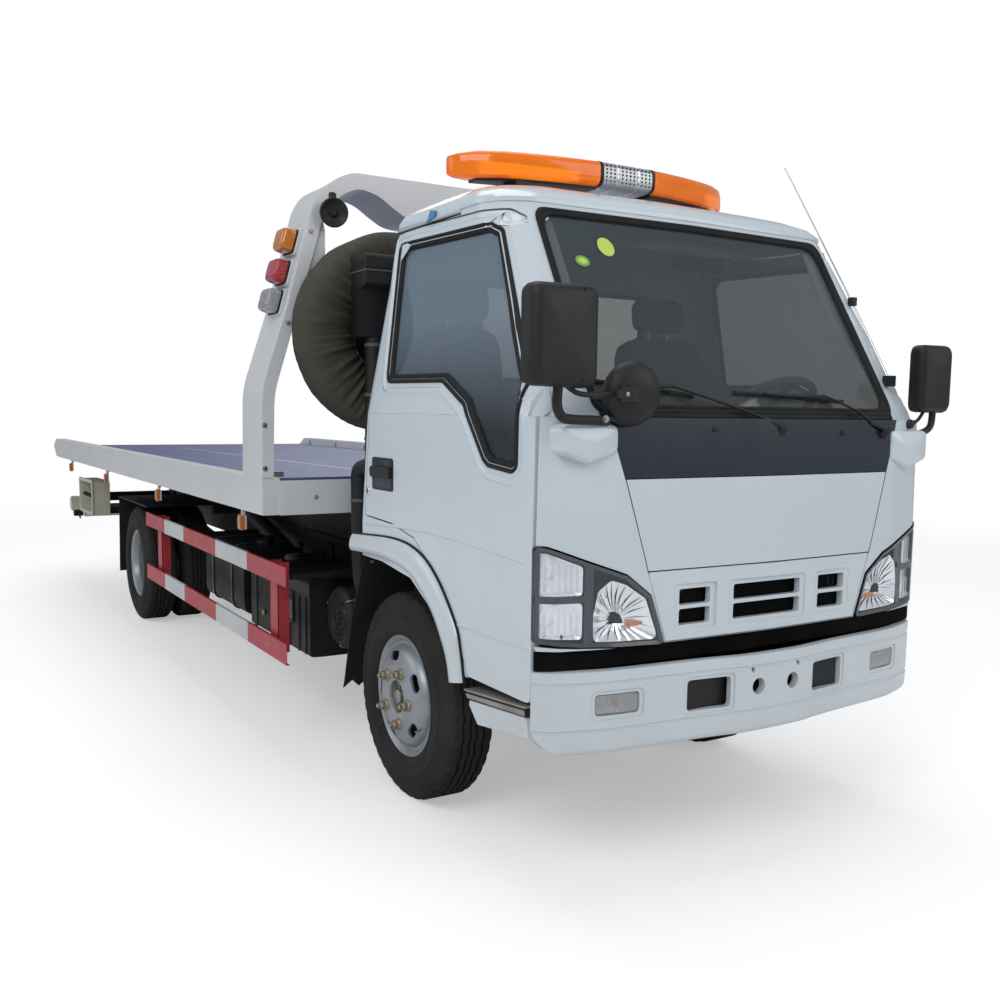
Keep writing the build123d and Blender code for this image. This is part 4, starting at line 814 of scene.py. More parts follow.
def settle(obj, body, look, smooth=32, replaces=(), bevel=0.0):
    """Working object becomes a piece."""
    obj.data.materials.clear()
    obj.data.materials.append(M[look])
    obj.data.polygons.foreach_set("material_index", [0] * len(obj.data.polygons))
    smoothed(obj.data, smooth)
    if bevel:
        soften_edges(obj, bevel, 50)
    mod = obj.modifiers.new("normals", "WEIGHTED_NORMAL")
    mod.keep_sharp = True
    mod.weight = 80
    return hand_in(obj, body, replaces)


WALL = 30
FRONT_X = 961           # the front panel meets the side frames here
ACROSS = (-1000, 1000)  # cutters that go right through the cab
lower = raw("lower", [shell_mesh(LOWER_ROWS, (602, 740, 880, 1020, 1160, 1300, 1430), WALL)])
upper = raw("upper", [shell_mesh(GLASS_ROWS, (1430.5, 1560, 1700, 1840, 1980, 2094), WALL)])
BACK_ZONE = ((-400, 500), (-400, 2110), (-106, 2110), (-192, 1430), (-244, 1020), (-244, 500))

# front panel, grille, black cowl panel
front = keep(lower, "front_panel", rect(FRONT_X, 1200, 500, 1440), "xz", *ACROSS)
carve(front, rect(930, 1200, 500, 762), "xz", *ACROSS)
cowl = keep(front, "cowl", GARNISH, "yz", 900, 1200)
carve(front, offset(GARNISH, 2.5), "yz", 900, 1200)
for side in (-1, 1):
    zone = [(side * (900 if y > 825 else y), z) for y, z in offset(LAMP, 3)]
    carve(front, zone, "yz", 940, 1200)
grille = keep(lower, "grille", rounded(GRILLE, 6), "yz", 900, 1200)
carve(front, offset(GRILLE, 2.5), "yz", 900, 1200)
SLOT_COLUMNS = ((-362, -238), (-146, 146), (238, 362))
SLOT_ROWS = ((808, 857), (869, 918))
for y0, y1 in SLOT_COLUMNS:
    dish = rounded(((y0 - 20, 792), (y1 + 20, 792), (y1 + 22, 934), (y0 - 22, 934)), 16)
    carve(grille, dish, "yz", 1056 if y0 == -y1 else 1050, 1200)
    for z0, z1 in SLOT_ROWS:
        carve(grille, rounded(rect(y0, y1, z0, z1), 8), "yz", 900, 1200)
settle(front, "cab", "white", replaces=("cab_front",))
settle(cowl, "cab", "gloss_black", replaces=("cowl_panel",))
settle(grille, "cab", "white", bevel=2.0, replaces=("grille",))

# painted shade: a dark sheet behind the gaps between the front's panels
panel_shade = Shape("panel_gap_shade", "cab")
for z0, z1, inset in ((705, 764, 24), (764, 1426, 34)):
    rings = [ring(row_at(LOWER_ROWS, z), inset) for z in (z0, z1)]
    ahead = [k for k, q in enumerate(rings[0]) if q[0] > 960]
    verts = [P(*line[k], z) for line, z in zip(rings, (z0, z1)) for k in ahead]
    panel_shade.add(verts, strips(2, len(ahead), wrap=False), "painted_shade")
panel_shade.finish(slot="black_plastic")
radiator = Shape("radiator_fins", "cab")
for k in range(34):
    y = -396 + k * 24
    radiator.box(1012, 1018, y - 2, y + 2, 790, 930, "plastic")
for z in (796, 863, 926):
    radiator.box(1008, 1020, -400, 400, z - 4, z + 4, "plastic")
radiator.finish(bevel=0.5)

# doors
for side, name in SIDES:
    y0, y1 = side * 560, side * 900
    halves = [keep(source, "door_part", rounded(DOOR, 14), "xz", y0, y1)
              for source in (lower, upper)]
    for half in halves:
        carve(half, rounded(WINDOW, 26), "xz", y0, y1)
    settle(joined("door_skin_" + name, halves), "door_" + name, "white",
           replaces=("door_" + name,))
    inner = Shape("door_trim_" + name, "door_" + name)
    tray = rounded(((60, 1060), (560, 830), (640, 650), (915, 650), (915, 1250), (700, 1262),
                    (545, 1440), (-120, 1500), (-150, 1080)), 30)
    inner.prism(tray, "xz", side * 798, side * 782, "dash")
    inner.prism(rounded(((80, 1120), (520, 1080), (520, 1180), (80, 1200)), 20), "xz",
                side * 786, side * 750, "dash")
    inner.finish(bevel=3, slot="dash_plastic")

# side frames, pillars
pieces = []
for source in (lower, upper):
    piece = linked("frame_part", source.data.copy())
    for side in (-1, 1):
        carve(piece, rounded(offset(DOOR, 6), 16), "xz", side * 560, side * 900)
    carve(piece, BACK_ZONE, "xz", *ACROSS)
    pieces.append(piece)
carve(pieces[0], rect(940, 1200, 500, 1440), "xz", *ACROSS)
carve(pieces[0], ARCH, "xz", -900, 900)
carve(pieces[1], rounded(SCREEN, 46), "yz", 500, 1200)
settle(joined("side_frames", pieces), "cab", "white", replaces=("cab_frame",))

# rear wall
pieces = []
for source in (lower, upper):
    piece = keep(source, "back_part", BACK_ZONE, "xz", *ACROSS)
    carve(piece, ((-400, 480), (-400, 893), (0, 893), (0, 480)), "xz", -900, 900)
    carve(piece, rounded(REAR_WINDOW, 40), "yz", -400, 0)
    pieces.append(piece)
settle(joined("back_wall", pieces), "cab", "white", replaces=("cab_back",))
bpy.data.objects.remove(lower)
bpy.data.objects.remove(upper)

# roof: a smooth cap with a turned-down edge
roof = Shape("roof_skin", "cab")
levels = [r[0] for r in ROOF_ROWS]
levels += [(a + b) / 2 for a, b in zip(levels[:-1], levels[1:])]
loops = [[P(x, y, z) for x, y in ring(row_at(ROOF_ROWS, z))] for z in sorted(levels)]
rim = loops[-1]
centre = P(100, 0, 2210)
for s in range(1, 6):
    share = 1 - s / 5.2
    loops.append([centre + (v - centre) * share for v in rim])
    for p, v in zip(loops[-1], rim):
        p.z = v.z + 0.006 * (1 - share * share)
roof.loft(loops, "white")
roof.finish(smooth=50, replaces=("cab_roof",))

SKIN = skin("cab_front", "cab_frame", "cab_back", "cowl_panel", "grille", "door_left",
            "door_right", "cab_glass", "door_glass_left", "door_glass_right", "headlamps")


def border(shape, inner, outer, view, rows, look, step=24):
    """Moulding between two matching closed outlines; rows are (share outwards, lift in mm)."""
    inner, outer = [[Vector(p) for p in line] for line in (inner, outer)]
    paths = [[], []]
    for i in range(len(inner)):
        j = (i + 1) % len(inner)
        k = max(1, int((inner[j] - inner[i]).length / step))
        for path, line in zip(paths, (inner, outer)):
            path += [tuple(line[i].lerp(line[j], s / k)) for s in range(k)]
    (pa, na), (pb, nb) = [on_skin(path, view) for path in paths]
    na, nb = softened(na, True, 4), softened(nb, True, 4)
    rings = [[a.lerp(b, share) + (u + v).normalized() * (lift / 1000) for share, lift in rows]
             for a, b, u, v in zip(pa, pb, na, nb)]
    return shape.loft(rings, look, looped=True)


SEAL = ((0, -6), (0, 5), (0.12, 9), (0.3, 9), (0.42, 5), (0.52, 5), (0.62, 8), (0.85, 8), (1, 3),
        (1, -6))
seal = Shape("windscreen_seal", "cab")
border(seal, rounded(offset(SCREEN, -13), 60), rounded(offset(SCREEN, 11), 44), "front", SEAL,
       "rubber")
moulding(seal, ((-634, 1440), (634, 1440)), 40, ((-11, -4), (-11, 4), (11, 4), (11, -4)), "rubber")
seal.finish(smooth=50)
for side, name in SIDES:
    seal = Shape("window_seal_" + name, "door_" + name)
    border(seal, rounded(offset(WINDOW, -16), 22), rounded(offset(WINDOW, 15), 38), "right",
           SEAL, "rubber")
    border(seal, rounded(offset(WINDOW, 38), 60), rounded(offset(WINDOW, 56), 74), "right",
           ((0, -2), (0.3, 4), (0.6, 4), (1, -2)), "white")
    if side > 0:
        seal.flip()
        seal.faces = [face[::-1] for face in seal.faces]
    seal.finish(smooth=50)
rear_seal = Shape("rear_window_seal", "cab")
border(rear_seal, rounded(offset(REAR_WINDOW, -18), 40), rounded(offset(REAR_WINDOW, 18), 60),
       "back", SEAL, "rubber")
rear_seal.finish(smooth=50)

# gutters along the roof's edge
gutter = Shape("gutters", "cab")
RAIL = ((-140, 2086), (60, 2088), (220, 2089), (370, 2088))
line, nrm = on_skin(curved(RAIL, 8), "right")
nrm = softened(nrm, False, 5)
gutter.bead(line, nrm, ((-5, -2), (-4, 6), (0, 9), (4, 6), (5, -2)), "white", closed=False)
gutter.bead([p + Vector((0, 0, -0.009)) for p in line], nrm, ((-3, -2), (-3, 2), (3, 2), (3, -2)),
            "rubber", closed=False)
gutter.mirror()
gutter.finish(smooth=60)

# raised frames round the side windows
for side, name in SIDES:
    surround = Shape("window_surround_" + name, "door_" + name)
    border(surround, rounded(offset(WINDOW, 27), 40), rounded(offset(WINDOW, 52), 56), "right",
           ((0, -3), (0.1, 1.5), (0.35, 4.0), (0.65, 4.0), (0.9, 1.5), (1, -3)), "white")
    if side > 0:
        surround.flip()
    surround.finish(smooth=60)

# the screen's shade band, and the lines between the front's panels
shade_band = Shape("screen_shade_band", "cab")
patch(shade_band, rounded(((-596, 2050), (596, 2050), (602, 1985), (-602, 1985)), 12), "front",
      -16, "band", 3)
shade_band.finish(smooth=70, slot="glass")
lines = Shape("front_panel_lines", "cab")
for side in (-1, 1):
    moulding(lines, ((side * 567, 1254), (side * 484, 980)), 30,
             ((-1.6, -2), (-1.2, 0.7), (1.2, 0.7), (1.6, -2)), "rubber")
moulding(lines, ((-484, 980), (484, 980)), 30,
         ((-1.8, -2), (-1.4, 0.7), (1.4, 0.7), (1.8, -2)), "rubber")
lines.finish(smooth=60)


# ---- bumper -------------------------------------------------------------------------------
BUMPER_PLAN = ((957, -830), (992, -790), (1022, -710), (1050, -600), (1077, -340), (1092, -220),
               (1106, -130), (1110, 0), (1106, 130), (1092, 220), (1077, 340), (1050, 600),
               (1022, 710), (992, 790), (957, 830))
BUMPER_PROFILE = ((26, 700), (5, 700), (1, 697), (0, 692), (0, 667), (4, 664), (4, 656), (0, 653),
                  (0, 527), (4, 524), (4, 516), (0, 513), (1, 470), (4, 458), (10, 452), (26, 452))
SLOT = (182, 340, 544, 640)
FOG = (510, 658, 564, 628)


face_line = curved(BUMPER_PLAN)


def face_at(y):
    """Station and outward direction of the bumper's face at a distance from the middle."""
    for (x0, y0), (x1, y1) in zip(face_line[:-1], face_line[1:]):
        if y <= y1 or (x1, y1) == face_line[-1]:
            t = (y - y0) / (y1 - y0)
            along = Vector((x1 - x0, y1 - y0)).normalized()
            return x0 + (x1 - x0) * t, Vector((along.y, -along.x))


def face_block(outline, out, into):
    """Cutter that follows the bumper's face, from out in front of it to into behind it."""
    def at(y, z, d):
        x, way = face_at(y)
        return P(x + way.x * d, y + way.y * d, z)
    line = resampled(outline, 12)
    mid = middle(line)
    verts = [at(y, z, d) for d in (out, -into) for y, z in line]
    verts += [at(*mid, out), at(*mid, -into)]
    n = len(line)
    faces = strips(2, n)
    for i in range(n):
        j = (i + 1) % n
        faces += [[j, i, 2 * n], [n + i, n + j, 2 * n + 1]]
    return verts, faces


def oblong(y0, y1, z0, z1, r=14):
    return rounded(rect(y0, y1, z0, z1), r, 4)


def circle(a, b, r, n):
    return [(a + r * cos(t), b + r * sin(t)) for t in angles(n)]


rings = []
for x, y in face_line:
    way = face_at(y)[1]
    rings.append([P(x - way.x * d, y - way.y * d, z) for d, z in BUMPER_PROFILE])
hull = Shape("cutter", "chassis").loft(rings, "white")
bumper = raw("bumper_skin", [(hull.verts, hull.faces)])
for side in (-1, 1):
    for y0, y1, z0, z1 in (SLOT, FOG):
        a, b = sorted((side * y0, side * y1))
        cut(bumper, [face_block(oblong(a - 14, b + 14, z0 - 12, z1 + 12, 22), 30, 4)])
        cut(bumper, [face_block(oblong(a, b, z0, z1), 30, 60)])
    cut(bumper, [face_block(circle(side * 75, 598, 26, 24), 30, 60)])
    cut(bumper, [face_block(circle(side * 99, 652, 8, 16), 30, 60)])
    corner = ((845, 440), (845, 548), (831, 546), (827, 520), (817, 496), (800, 476), (776, 461),
              (742, 452.5), (720, 451), (720, 440))
    carve(bumper, [(side * y, z) for y, z in corner], "yz", 850, 1150)
settle(bumper, "chassis", "white", smooth=40, replaces=("bumper",), bevel=1.2)
back_plate = Shape("bumper_backing", "chassis")
for side in (-1, 1):
    a, b = sorted((side * SLOT[0], side * SLOT[1]))
    x = face_at((a + b) / 2)[0]
    for k in range(5):
        z = SLOT[2] + 12 + k * 18
        back_plate.box(x - 54, x - 40, a - 20, b + 20, z, z + 6, "plastic")
    for x1, z1 in ((1060, 560), (950, 680)):
        back_plate.box(900, x1, side * 350, side * 366, 470, z1, "chassis")
back_plate.box(1056, 1062, -330, 330, 470, 690, "plastic")
back_plate.finish(bevel=1.5, slot="chassis_black")

# fog lamps in the bumper, tail lamps on the rear bar
lamps = Shape("bumper_and_tail_lamps", "chassis")
for side in (-1, 1):
    a, b = sorted((side * FOG[0], side * FOG[1]))
    x = face_at((a + b) / 2)[0]
    for gap, r, out, into, look in ((3, 10, -8, 14, "ribbed_lens"), (1, 12, -30, 46, "chrome")):
        pane = oblong(a + gap, b - gap, FOG[2] + gap, FOG[3] - gap, r)
        lamps.add(*face_block(pane, out, into), look)
    lamps.ball((x - 22, (a + b) / 2, 596), 13, "orange_lens")
    for y, look in ((560, "clear_lens"), (700, "orange_lens"), (840, "red_lens")):
        a, b = sorted((side * (y - 60), side * (y + 60)))
        lamps.box(-5304, -5288, a, b, 696, 756, look)
        lamps.box(-5288, -5274, a - 2, b + 2, 694, 758, "plastic")
lamps.finish(bevel=2.5, slot="lamp_red", replaces=("chassis_lamps",))

# ---- headlamps ----------------------------------------------------------------------------
LAMP_IN = offset(LAMP, -3)
for side, name in SIDES:
    def here(points):
        return [(side * y, z) for y, z in points]

    def walls(shape, outline, lift0, lift1, look):
        """Band round an outline between two depths below the cover."""
        low, _ = on_skin(resampled(here(outline), 16), "front")
        shape.add([p + Vector((lift / 1000, 0, 0)) for lift in (lift0, lift1) for p in low],
                  strips(2, len(low)), look)

    def panel(shape, outline, depth, look, rings=4):
        """Sheet inside an outline, a set depth behind the cover."""
        first = len(shape.verts)
        patch(shape, resampled(here(outline), 16), "front", 0, look, rings)
        for v in shape.verts[first:]:
            v.x -= depth / 1000

    tray = Shape("headlamp_tray_" + name, "cab")
    lamp_line = rounded(LAMP_IN, 14)
    walls(tray, lamp_line, -2, -58, "gloss_black")
    walls(tray, rounded(offset(LAMP, -12), 12), -4, -30, "gloss_black")
    border(tray, here(rounded(offset(LAMP, -14), 12)), here(lamp_line), "front",
           ((0, -12), (0, -4), (1, -1), (1, -12)), "gloss_black")
    panel(tray, lamp_line, 56, "gloss_black")
    tray.finish(smooth=45)
    mirror = Shape("headlamp_reflectors_" + name, "cab")
    inner = ((440, 776), (488, 900), (560, 946), (610, 962), (650, 930), (664, 860), (662, 784))
    low, _ = on_skin(here(resampled(rounded(inner, 18), 9)), "front")
    hub = Vector((on_skin([(side * 572, 840)], "front")[0][0].x - 0.050, side * 0.572, 0.840))
    back_by = Vector((0.010, 0, 0))
    for k, p in enumerate(low):
        a, b = p - back_by, low[(k + 1) % len(low)] - back_by
        deep = Vector((0.010 if (k // 2) % 2 else 0.003, 0, 0))
        mid_a, mid_b = hub.lerp(a, 0.62) - deep, hub.lerp(b, 0.62) - deep
        mirror.add([a, b, mid_b, mid_a, hub.lerp(b, 0.2), hub.lerp(a, 0.2), hub],
                   [[0, 1, 2, 3], [3, 2, 4, 5], [5, 4, 6]], "reflector")
    for zone in (((698, 922), (698, 1004), (800, 1044), (824, 1044), (824, 922)),
                 ((698, 794), (698, 900), (824, 900), (824, 800))):
        walls(mirror, rounded(zone, 14), -8, -40, "reflector")
        panel(mirror, rounded(zone, 14), 38, "reflector", 3)
        z0, z1 = zone[0][1], zone[2][1]
        for y in range(706, 832, 18):
            rib = ((y, z0 + 6), (y, z1 - 34), (y + 7, z1 - 30), (y + 7, z0 + 6))
            panel(mirror, rib, 16, "clear_lens", 1)
    mullion = ((666, 780), (666, 1006), (694, 1016), (694, 780))
    panel(mirror, rounded(mullion, 6), 6, "gloss_black", 2)
    shelf = ((694, 900), (694, 922), (830, 922), (830, 900))
    panel(mirror, rounded(shelf, 6), 7, "gloss_black", 2)
    xs = on_skin([(side * 574, 862)], "front")[0][0].x * 1000 - ORIGIN
    bulb_at, bulb_way = (xs, side * 572, 872), (1, side * 0.12, 0)
    mirror.lathe(((0, -58), (20, -58), (20, -50), (12, -48), (12, -30), (8, -20), (0, -18)),
                 bulb_at, bulb_way, "clear_lens", 18)
    mirror.lathe(((26, -52), (30, -52), (30, -44), (26, -44), (26, -52)), bulb_at, bulb_way,
                 "chrome", 24)
    mirror.tube(((xs - 30, side * 486, 826), (xs - 24, side * 510, 826),
                 (xs - 22, side * 540, 826)), 8, "orange_lens", 10, 4)
    mirror.finish(smooth=14, slot="lamp_clear")
    cover = Shape("headlamp_cover_" + name, "cab")
    panel(cover, lamp_line, -1, "cover_lens", 5)
    cover.finish(smooth=60, slot="lamp_clear", replaces=("headlamps",))

# ---- mirrors ------------------------------------------------------------------------------
def crowned(shape, outline, rows, look):
    """Closed body from one (y, z) outline; rows are (station, inset)."""
    mid = middle(outline)
    half = [max(abs(p[k] - mid[k]) for p in outline) for k in (0, 1)]
    verts = []
    for at, inset in rows:
        verts += [P(at, *[mid[k] + (p[k] - mid[k]) * (1 - inset / half[k]) for k in (0, 1)])
                  for p in outline]
    verts += [P(rows[-1][0], *mid), P(rows[0][0], *mid)]
    n = len(outline)
    last, top = len(verts) - 2 - n, len(verts) - 2
    faces = strips(len(rows), n)
    for j in range(n):
        faces += [[last + j, last + (j + 1) % n, top], [(j + 1) % n, j, top + 1]]
    return shape.add(verts, faces, look)


HOUSING = rounded(((-937, 1512), (-937, 1782), (-717, 1785), (-717, 1507)), 34, 6)
mirrors = Shape("mirrors_near", "cab")
crowned(mirrors, HOUSING, ((1034, 10), (1040, 3), (1052, 0), (1078, 0), (1092, 4), (1102, 11),
                           (1108, 20), (1110, 27)), "plastic")
crowned(mirrors, offset(HOUSING, -14), ((1032, 4), (1034.5, 0)), "chrome")
mirrors.box(1105.5, 1109.6, -778, -775, 1524, 1772, "rubber")
mirrors.box(1103, 1109.4, -925, -775, 1584, 1587, "rubber")
mirrors.tube(((1060, -826, 1512), (1058, -826, 1462), (1056, -812, 1434), (1052, -784, 1424),
              (1048, -700, 1421), (1040, -640, 1419)), 14, "plastic", 14, 8)
mirrors.tube(((1062, -800, 1514), (1064, -760, 1494), (1066, -700, 1491), (1076, -620, 1496),
              (1082, -574, 1497)), 7.5, "plastic", 12, 8)
mirrors.box(1046, 1058, -704, -600, 1418, 1432, "plastic")
mirrors.box(1060, 1070, -716, -684, 1480, 1502, "plastic")
mirrors.bolt((1058, -660, 1425), (1, 0, 0), 8, 8)
DISH = [(0, 40), (30, 39), (56, 34), (76, 25), (88, 13), (93, 0), (93, -8), (88, -10), (86, -4),
        (0, -4)]
mirrors.box(1088, 1101, -640, -578, 1474, 1514, "plastic")
mirrors.box(1092, 1104, -655, -600, 1482, 1506, "plastic")
mirrors.bolt((1101, -622, 1494), (1, 0, 0), 7, 6)
DISH_AT, DISH_WAY = (1060, -573, 1496), (1, -0.12, -0.10)
mirrors.lathe(DISH, DISH_AT, DISH_WAY, "plastic", 48)
mirrors.lathe(((0, -6), (85, -6), (85, -3), (0, -3)), DISH_AT, DISH_WAY, "chrome", 48)
mirrors.finish(bevel=0.8, smooth=40, replaces=("mirrors",))
pedestal = Shape("mirror_pedestals", "cab")
for y0, y1, z0, z1 in ((-796, -595, 1297, 1410), (584, 778, 1260, 1395)):
    line = rounded(((y0, z0 + 34), (y0, z1), (y1, z1), (y1, z0 + 34), ((y0 + y1) / 2, z0)), 24, 5)
    crowned(pedestal, line, ((972, 0), (1024, 0), (1036, 4), (1042, 14)), "white")
pedestal.finish(smooth=40)
far = Shape("mirror_far", "cab")
FAR = rounded(((745, 1458), (745, 1694), (914, 1696), (914, 1456)), 30, 6)
crowned(far, FAR, ((968, 8), (974, 2), (984, 0), (1008, 0), (1020, 4), (1030, 13), (1033, 23)),
        "plastic")
crowned(far, offset(FAR, -13), ((966, 4), (968.5, 0)), "chrome")
far.tube(((1000, 850, 1458), (1000, 846, 1420), (1002, 830, 1400), (1010, 790, 1388),
          (1014, 740, 1380)), 12, "plastic", 12, 8)
far.tube(((1000, 800, 1460), (1002, 770, 1432), (1006, 735, 1418), (1010, 712, 1416)), 6,
         "plastic", 10, 8)
far.ball((1010, 713, 1416), 17, "plastic")
far.finish(bevel=0.8, smooth=40, slot="black_plastic")

# ---- wipers and washer nozzles ------------------------------------------------------------
wipers = Shape("wipers", "cab")
WIPERS = (((1048, 46, 1395), (959, -346, 1513), (936, -650, 1534), (974, -262, 1493)),
          ((1045, 545, 1389), (970, 313, 1494), (972, -95, 1507), (972, 410, 1486)))
for pivot, tip, blade0, blade1 in WIPERS:
    px, py, pz = pivot
    wipers.lathe(((0, -16), (17, -16), (17, 6), (12, 14), (0, 16)), (px - 4, py, pz), (0.6, 0, 0.8),
                 "plastic", 20)
    mid = [(px + 2, py - 6, pz + 12), (px - 8, py - 70, pz + 34)]
    mid.append(tuple(a * 0.45 + b * 0.55 for a, b in zip(pivot, tip)))
    wipers.tube((pivot, *mid[:2]), (11, 10, 8), "plastic", 10, 6, flat=0.6)
    lifted = tuple(c + d for c, d in zip(mid[2], (16, 0, 14)))
    end = tuple(c + d for c, d in zip(tip, (10, 0, 12)))
    wipers.tube((mid[1], lifted, end), (8, 6.5, 5.5), "plastic", 10, 6, flat=0.6)
    line = [tuple(blade0[k] + (blade1[k] - blade0[k]) * t for k in range(3))
            for t in (0, 0.25, 0.5, 0.75, 1)]
    low, nrm = on_skin([(p[1], p[2]) for p in line], "front")
    wipers.tube([p + n * 0.006 for p, n in zip(low, nrm)], 3.6, "rubber", 8, 4, flat=1.8,
                metres=True)
    wipers.tube([p + n * 0.015 for p, n in zip(low[1:4], nrm[1:4])], 4.2, "plastic", 8, 4,
                metres=True)
    for k in (1, 3):
        wipers.tube([low[k] + nrm[k] * 0.006, low[k] + nrm[k] * 0.017], 4.5, "plastic", 8, 1,
                    metres=True)
    a = low[2] + nrm[2] * 0.015
    wipers.tube([a, P(*end)], 5.5, "plastic", 8, 1, metres=True)
for y, z in ((-234, 1398), (335, 1386)):
    hit, _ = on_skin([(y, z)], "front")
    wipers.ball((hit[0].x * 1000 - ORIGIN, y, z), 9, "plastic", 12, (1, 1.5, 1))
wipers.finish(bevel=0.5, smooth=45, slot="black_plastic", replaces=("wipers",))

# ---- screen and cab details ---------------------------------------------------------------
stuck = Shape("screen_stickers", "cab")
for y, z, ry, rz, look, lift in (
        (-394, 1965, 31, 31, "lime", 1.5), (-504, 1909, 26, 18, "green", 1.5),
        (-504, 1909, 16, 10, "lime", 2.2), (-598, 2048, 20, 16, "paper", 1.5)):
    patch(stuck, [(y + ry * cos(a), z + rz * sin(a)) for a in angles(28)], "front", lift, look, 2)
stuck.finish(smooth=60, slot="black_plastic")
papers = Shape("papers_and_mirror", "cab")
for y, z, w, turn in ((122, 1440, 90, 0.1), (500, 1438, 70, -0.2)):
    sheet = [(960 + a * cos(turn) - b * sin(turn), y + a * sin(turn) + b * cos(turn))
             for a, b in ((-60, -w), (34, -w), (34, w), (-60, w))]
    papers.prism(sheet, "xy", z - 12, z - 10, "paper")
line = rounded(((116, 1965), (116, 2016), (356, 2018), (356, 1964)), 14, 5)
crowned(papers, line, ((412, 2), (418, 0), (434, 0), (440, 6)), "plastic")
papers.tube(((436, 236, 2018), (470, 236, 2052), (500, 236, 2062)), 6, "plastic", 10, 6)
papers.finish(bevel=0.6, slot="dash_plastic")

# ---- light bar ----------------------------------------------------------------------------
# distance from the middle, rear and front station
BAR_ROWS = ((125, 118, 292), (200, 112, 284), (300, 102, 268), (400, 90, 246), (480, 76, 220),
            (560, 58, 170), (610, 46, 128), (632, 48, 104))
BAR_REAR, BAR_FRONT = BAR_ROWS[0][1:]


def bar_section(xr, xf, inset, z0, z1):
    """Oblong with full corners, as (station, z)."""
    w, h = (xf - xr) / 2 - inset, (z1 - z0) / 2
    out = []
    for a in angles(28):
        u, v = [(1 if c >= 0 else -1) * abs(c) ** 0.5 for c in (cos(a), sin(a))]
        out.append(((xf + xr) / 2 + w * u, (z0 + z1) / 2 + h * v))
    return out


bar = Shape("light_bar_lenses", "cab")
base_bar = Shape("light_bar_base", "cab")
for side in (-1, 1):
    rings = []
    for y, xr, xf in BAR_ROWS:
        end = max(0, (y - 590) / 42)
        rings.append([P(x, side * (y + 2), z)
                      for x, z in bar_section(xr, xf, 12 * end, 2256 + 14 * end, 2350 - 16 * end)])
    bar.loft(rings, "amber_dome")
    plan = [(xr + 30, side * y) for y, xr, xf in BAR_ROWS[:-2]] + \
        [(xf - 30, side * y) for y, xr, xf in reversed(BAR_ROWS[:-2])]
    base_bar.prism(plan, "xy", 2248, 2258, "plastic")
    base_bar.box(130, 220, side * 380, side * 440, 2186, 2252, "plastic")
    base_bar.box(120, 232, side * 370, side * 450, 2186, 2200, "plastic")
    collar = bar_section(BAR_REAR, BAR_FRONT, -1.5, 2255, 2351)
    base_bar.prism(collar, "xz", side * 112, side * 124, "plastic")
    base_bar.prism(collar, "xz", side * 44, side * 49, "chrome")
base_bar.prism(bar_section(BAR_REAR, BAR_FRONT, 0, 2256, 2350), "xz", -112, 112, "mesh_steel")
for row in range(5):
    for k in range(12):
        at = (BAR_FRONT + 0.4 - abs(row - 2) * 1.3, -99 + k * 18, 2279 + row * 13)
        base_bar.lathe(((0, -1), (4.6, -1), (4.6, 1.0), (0, 1.0)), at, (1, 0, 0), "plastic", 8)
base_bar.finish(bevel=1.0, smooth=35, slot="black_plastic")
bar.finish(smooth=50, slot="lamp_amber", replaces=("light_bar",))

# ---- wheels and tyres ---------------------------------------------------------------------
AXLE_Z = 385
TREAD_HALF = ((206.6, 68), (226.5, 75), (229, 86), (236, 92), (246, 98), (250, 101), (256, 99.5),
              (270, 102), (296, 102.5), (318, 100), (322, 101.5), (327, 98.5), (344, 95),
              (358, 90), (368, 85), (376, 79), (382, 72), (385, 66), (385, 46), (375, 44),
              (375, 38), (385, 36), (385, 17), (375, 15), (375, 9), (385, 7))
TREAD = TREAD_HALF + tuple((r, -w) for r, w in reversed(TREAD_HALF))
TREAD_SEG = 132


def tread_cut(a, r, d):
    k = int(a / (2 * pi) * TREAD_SEG + 0.5)
    zig = 2.4 if k % 4 < 2 else -2.4
    if r > 374 and abs(d) < 50:
        return 0, zig
    if 340 < r < 384 and abs(d) > 60 and k % 3 == 0:
        return -5.5, 0
    if r > 384 and abs(d) > 60 and k % 3 == 0:
        return -9, 0
    return 0, 0


def tyre_at(shape, station, y, side):
    shape.lathe(TREAD, (station, y, AXLE_Z), (0, side, 0), "tyre", TREAD_SEG, tread_cut)
    for r, w in ((306, 102.2), (262, 101.4)):
        shape.lathe(((r, w - 1), (r + 1.4, w + 0.8), (r + 2.8, w - 1)), (station, y, AXLE_Z),
                    (0, side, 0), "tyre", 96)


RIM_RING = ((226, 76), (227.5, 80), (226, 83.5), (222, 84.5), (218, 82.5), (214, 77), (207, 73),
            (202, 68), (199, 60), (197, 40), (190, 10), (190, -40), (200, -62), (206, -74),
            (218, -79), (222, -83.5), (227, -82), (226.5, -76), (207, -69), (196, -40),
            (184, -40), (184, 40), (193, 70), (207, 69))
DISC_FACE = ((195.5, 34), (195, 56), (192, 72), (186, 84), (176, 94), (163, 101), (146, 106),
             (128, 110.5), (122, 114), (116, 115), (66, 115), (61, 112), (59, 104), (63, 104),
             (68, 106), (116, 106), (126, 101), (146, 97), (162, 92), (172, 86), (181, 76),
             (186, 64), (188, 34))


def disc_at(name, station, y, side, body):
    """Pressed disc with five hand holes, dished towards side."""
    s = Shape("cutter", body).lathe(DISC_FACE + (DISC_FACE[0],), (station, y, AXLE_Z),
                                    (0, side, 0), "rim", 80)
    work = raw(name, [(s.verts, s.faces)])
    cleaned(work.data)
    holes = []
    for a in angles(5, radians(31)):
        oval = []
        for t in angles(20):
            u = (18 if cos(t) >= 0 else -18) + 17 * cos(t)
            v = 152 + 18 * sin(t)
            oval.append((station + v * cos(a) - u * sin(a), AXLE_Z + v * sin(a) + u * cos(a)))
        holes.append(block(oval, "xz", y + side * 40, y + side * 140))
    settle(cut(work, holes), body, "rim", smooth=36)


